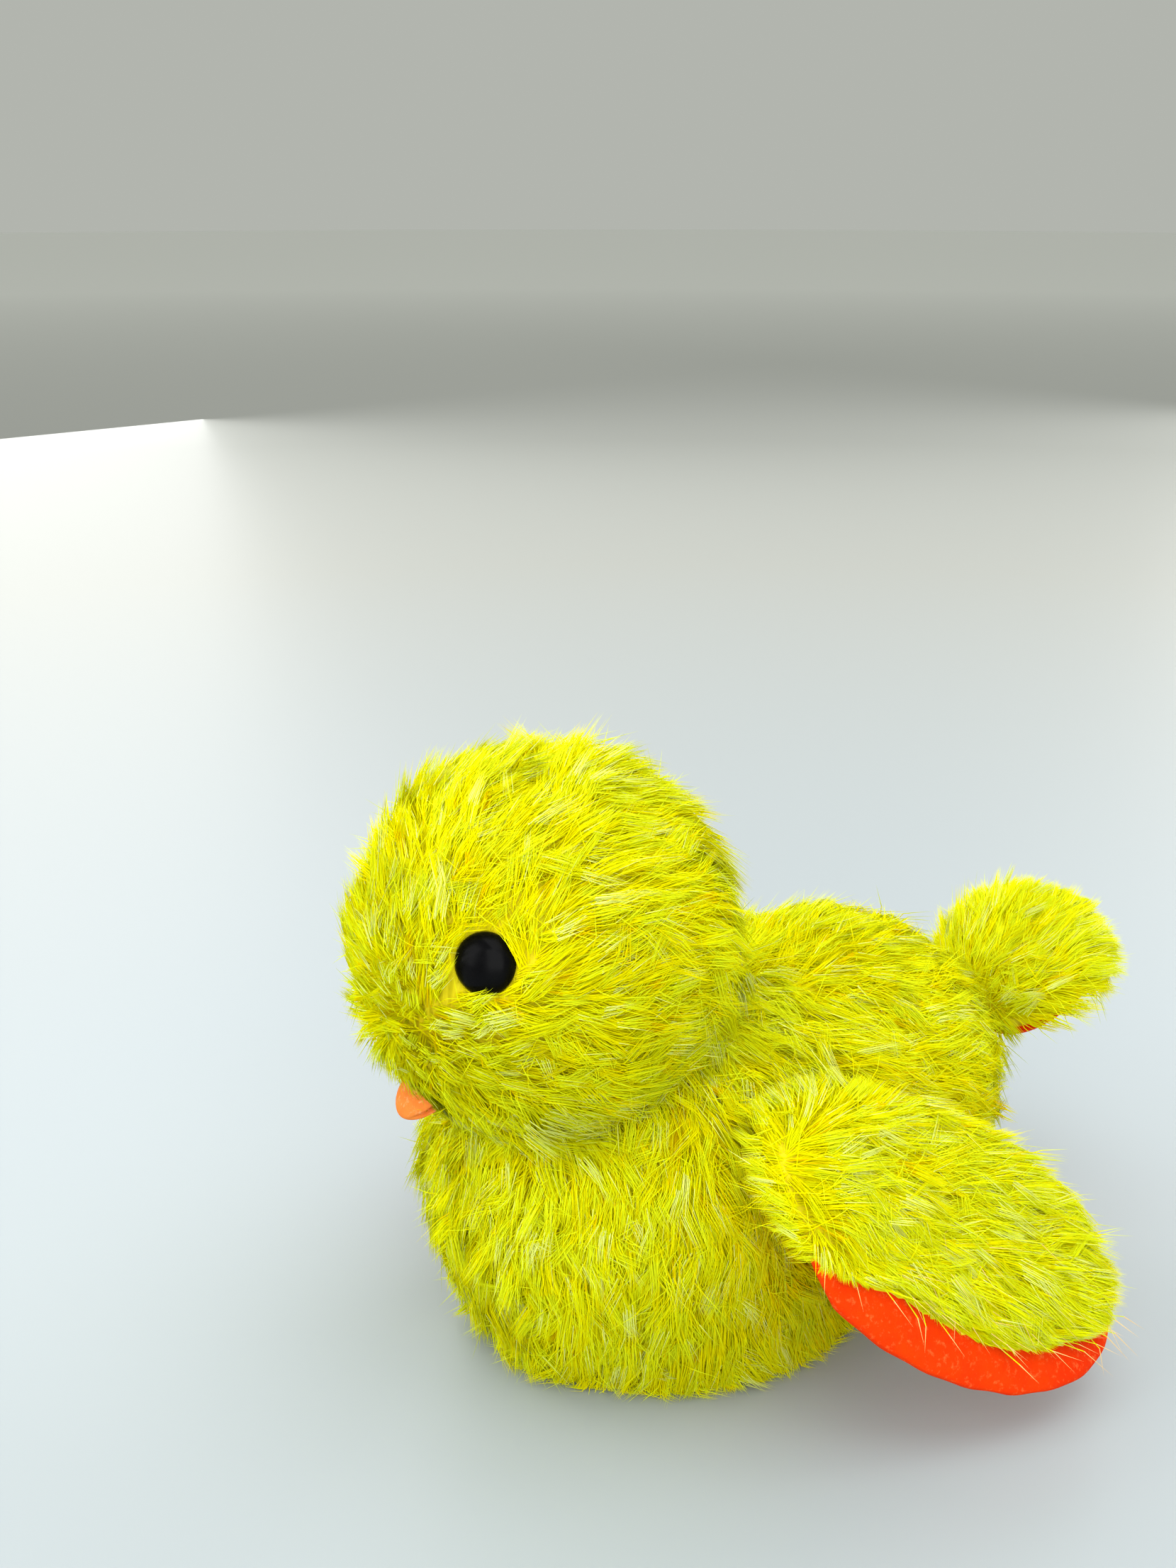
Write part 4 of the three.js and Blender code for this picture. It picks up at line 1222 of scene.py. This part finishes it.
class CHICK_OT_stage(bpy.types.Operator):
    """Make the floor, the soft light and the camera"""

    bl_idname = "chick.stage"
    bl_label = "Floor, Light and Camera"

    def execute(self, context):
        s = context.scene.chick_stage
        bm = bmesh.new()
        bmesh.ops.create_circle(bm, cap_ends=True, segments=96, radius=3.0)
        m, nt, bsdf, place = shader("pale_floor")
        length = nt.nodes.new("ShaderNodeVectorMath")
        length.operation = "LENGTH"
        nt.links.new(place, length.inputs[0])
        away = length.outputs["Value"]          # metres from the toy
        near = blend_colours(nt, spread(nt, away, 0, 1, 0.10, 0.42),
                             tuple(s.floor_colour), tuple(s.far_colour), 0, 1)
        over(nt, spread(nt, away, 0, 1, 0.7, 1.7), near, tuple(s.horizon_colour), bsdf)
        bsdf.inputs["Roughness"].default_value = 0.45
        bsdf.inputs["Specular IOR Level"].default_value = 0.3
        floor = piece("floor", bm, [m], smooth=False, drawn=False)

        world = bpy.data.worlds.new("studio")
        context.scene.world = world
        world.use_nodes = True
        back = next(n for n in world.node_tree.nodes if n.type == "BACKGROUND")
        back.inputs["Color"].default_value = (*s.world_colour, 1)
        back.inputs["Strength"].default_value = 1.0

        for name, place, size, power in (
                ("key_light", (0.16, -0.02, 0.60), 0.55, 3.0),
                ("near_light", (0.50, -0.30, 0.28), 0.55, 3.3),
                ("front_light", (-0.10, -0.60, 0.30), 0.50, 2.6),
                ("left_light", (-0.55, -0.10, 0.30), 0.75, 4.6),
                ("rear_light", (-0.10, 0.60, 0.32), 0.80, 4.6)):
            lamp = bpy.data.lights.new(name, "AREA")
            lamp.size, lamp.energy = size, power
            o = bpy.data.objects.new(name, lamp)
            o.location = place
            aim = Vector((0, 0, 0.03)) - Vector(place)
            o.rotation_euler = aim.to_track_quat("-Z", "Y").to_euler()
            context.scene.collection.objects.link(o)

        cam = bpy.data.objects.new("camera", bpy.data.cameras.new("camera"))
        cam.location = (0.17147, -0.12958, 0.12222)
        cam.rotation_euler = (math.radians(73.2), 0, math.radians(58))
        cam.data.lens = s.lens
        cam.data.sensor_width = 36.0
        cam.data.clip_start = 0.01
        context.scene.collection.objects.link(cam)
        context.scene.camera = cam
        view = context.scene.view_settings
        view.view_transform = "Standard"
        view.look = "None"
        view.exposure = s.exposure
        return {"FINISHED"}


# ---------------------------------------------------------------- panel and registration

STEPS = ("stage", "hard", "head", "body", "face", "wings", "tail", "stuffing")


class CHICK_PT_panel(bpy.types.Panel):
    """Lists the pieces of the chicken and their settings"""

    bl_label = "Hopping Chicken"
    bl_idname = "CHICK_PT_panel"
    bl_space_type = "VIEW_3D"
    bl_region_type = "UI"
    bl_category = "Chicken"

    def draw(self, context):
        for step in STEPS:
            self.layout.operator("chick." + step)
        for group in ("chick_plush", "chick_felt", "chick_hard", "chick_stage"):
            box = self.layout.box()
            settings = getattr(context.scene, group)
            for key in type(settings).__annotations__:
                box.prop(settings, key)


GROUPS = {"chick_plush": PlushSettings, "chick_felt": FeltSettings,
          "chick_hard": HardSettings, "chick_stage": StageSettings}
CLASSES = (PlushSettings, FeltSettings, HardSettings, StageSettings, CHICK_OT_stage,
           CHICK_OT_hard, CHICK_OT_head, CHICK_OT_body, CHICK_OT_face, CHICK_OT_wings,
           CHICK_OT_tail, CHICK_OT_stuffing, CHICK_PT_panel)


def register():
    for c in CLASSES:
        bpy.utils.register_class(c)
    for name, group in GROUPS.items():
        setattr(bpy.types.Scene, name, bpy.props.PointerProperty(type=group))


def unregister():
    for name in GROUPS:
        delattr(bpy.types.Scene, name)
    for c in reversed(CLASSES):
        bpy.utils.unregister_class(c)


def main():
    register()
    for step in STEPS:
        getattr(bpy.ops.chick, step)()
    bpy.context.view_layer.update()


if __name__ == "__main__":
    main()
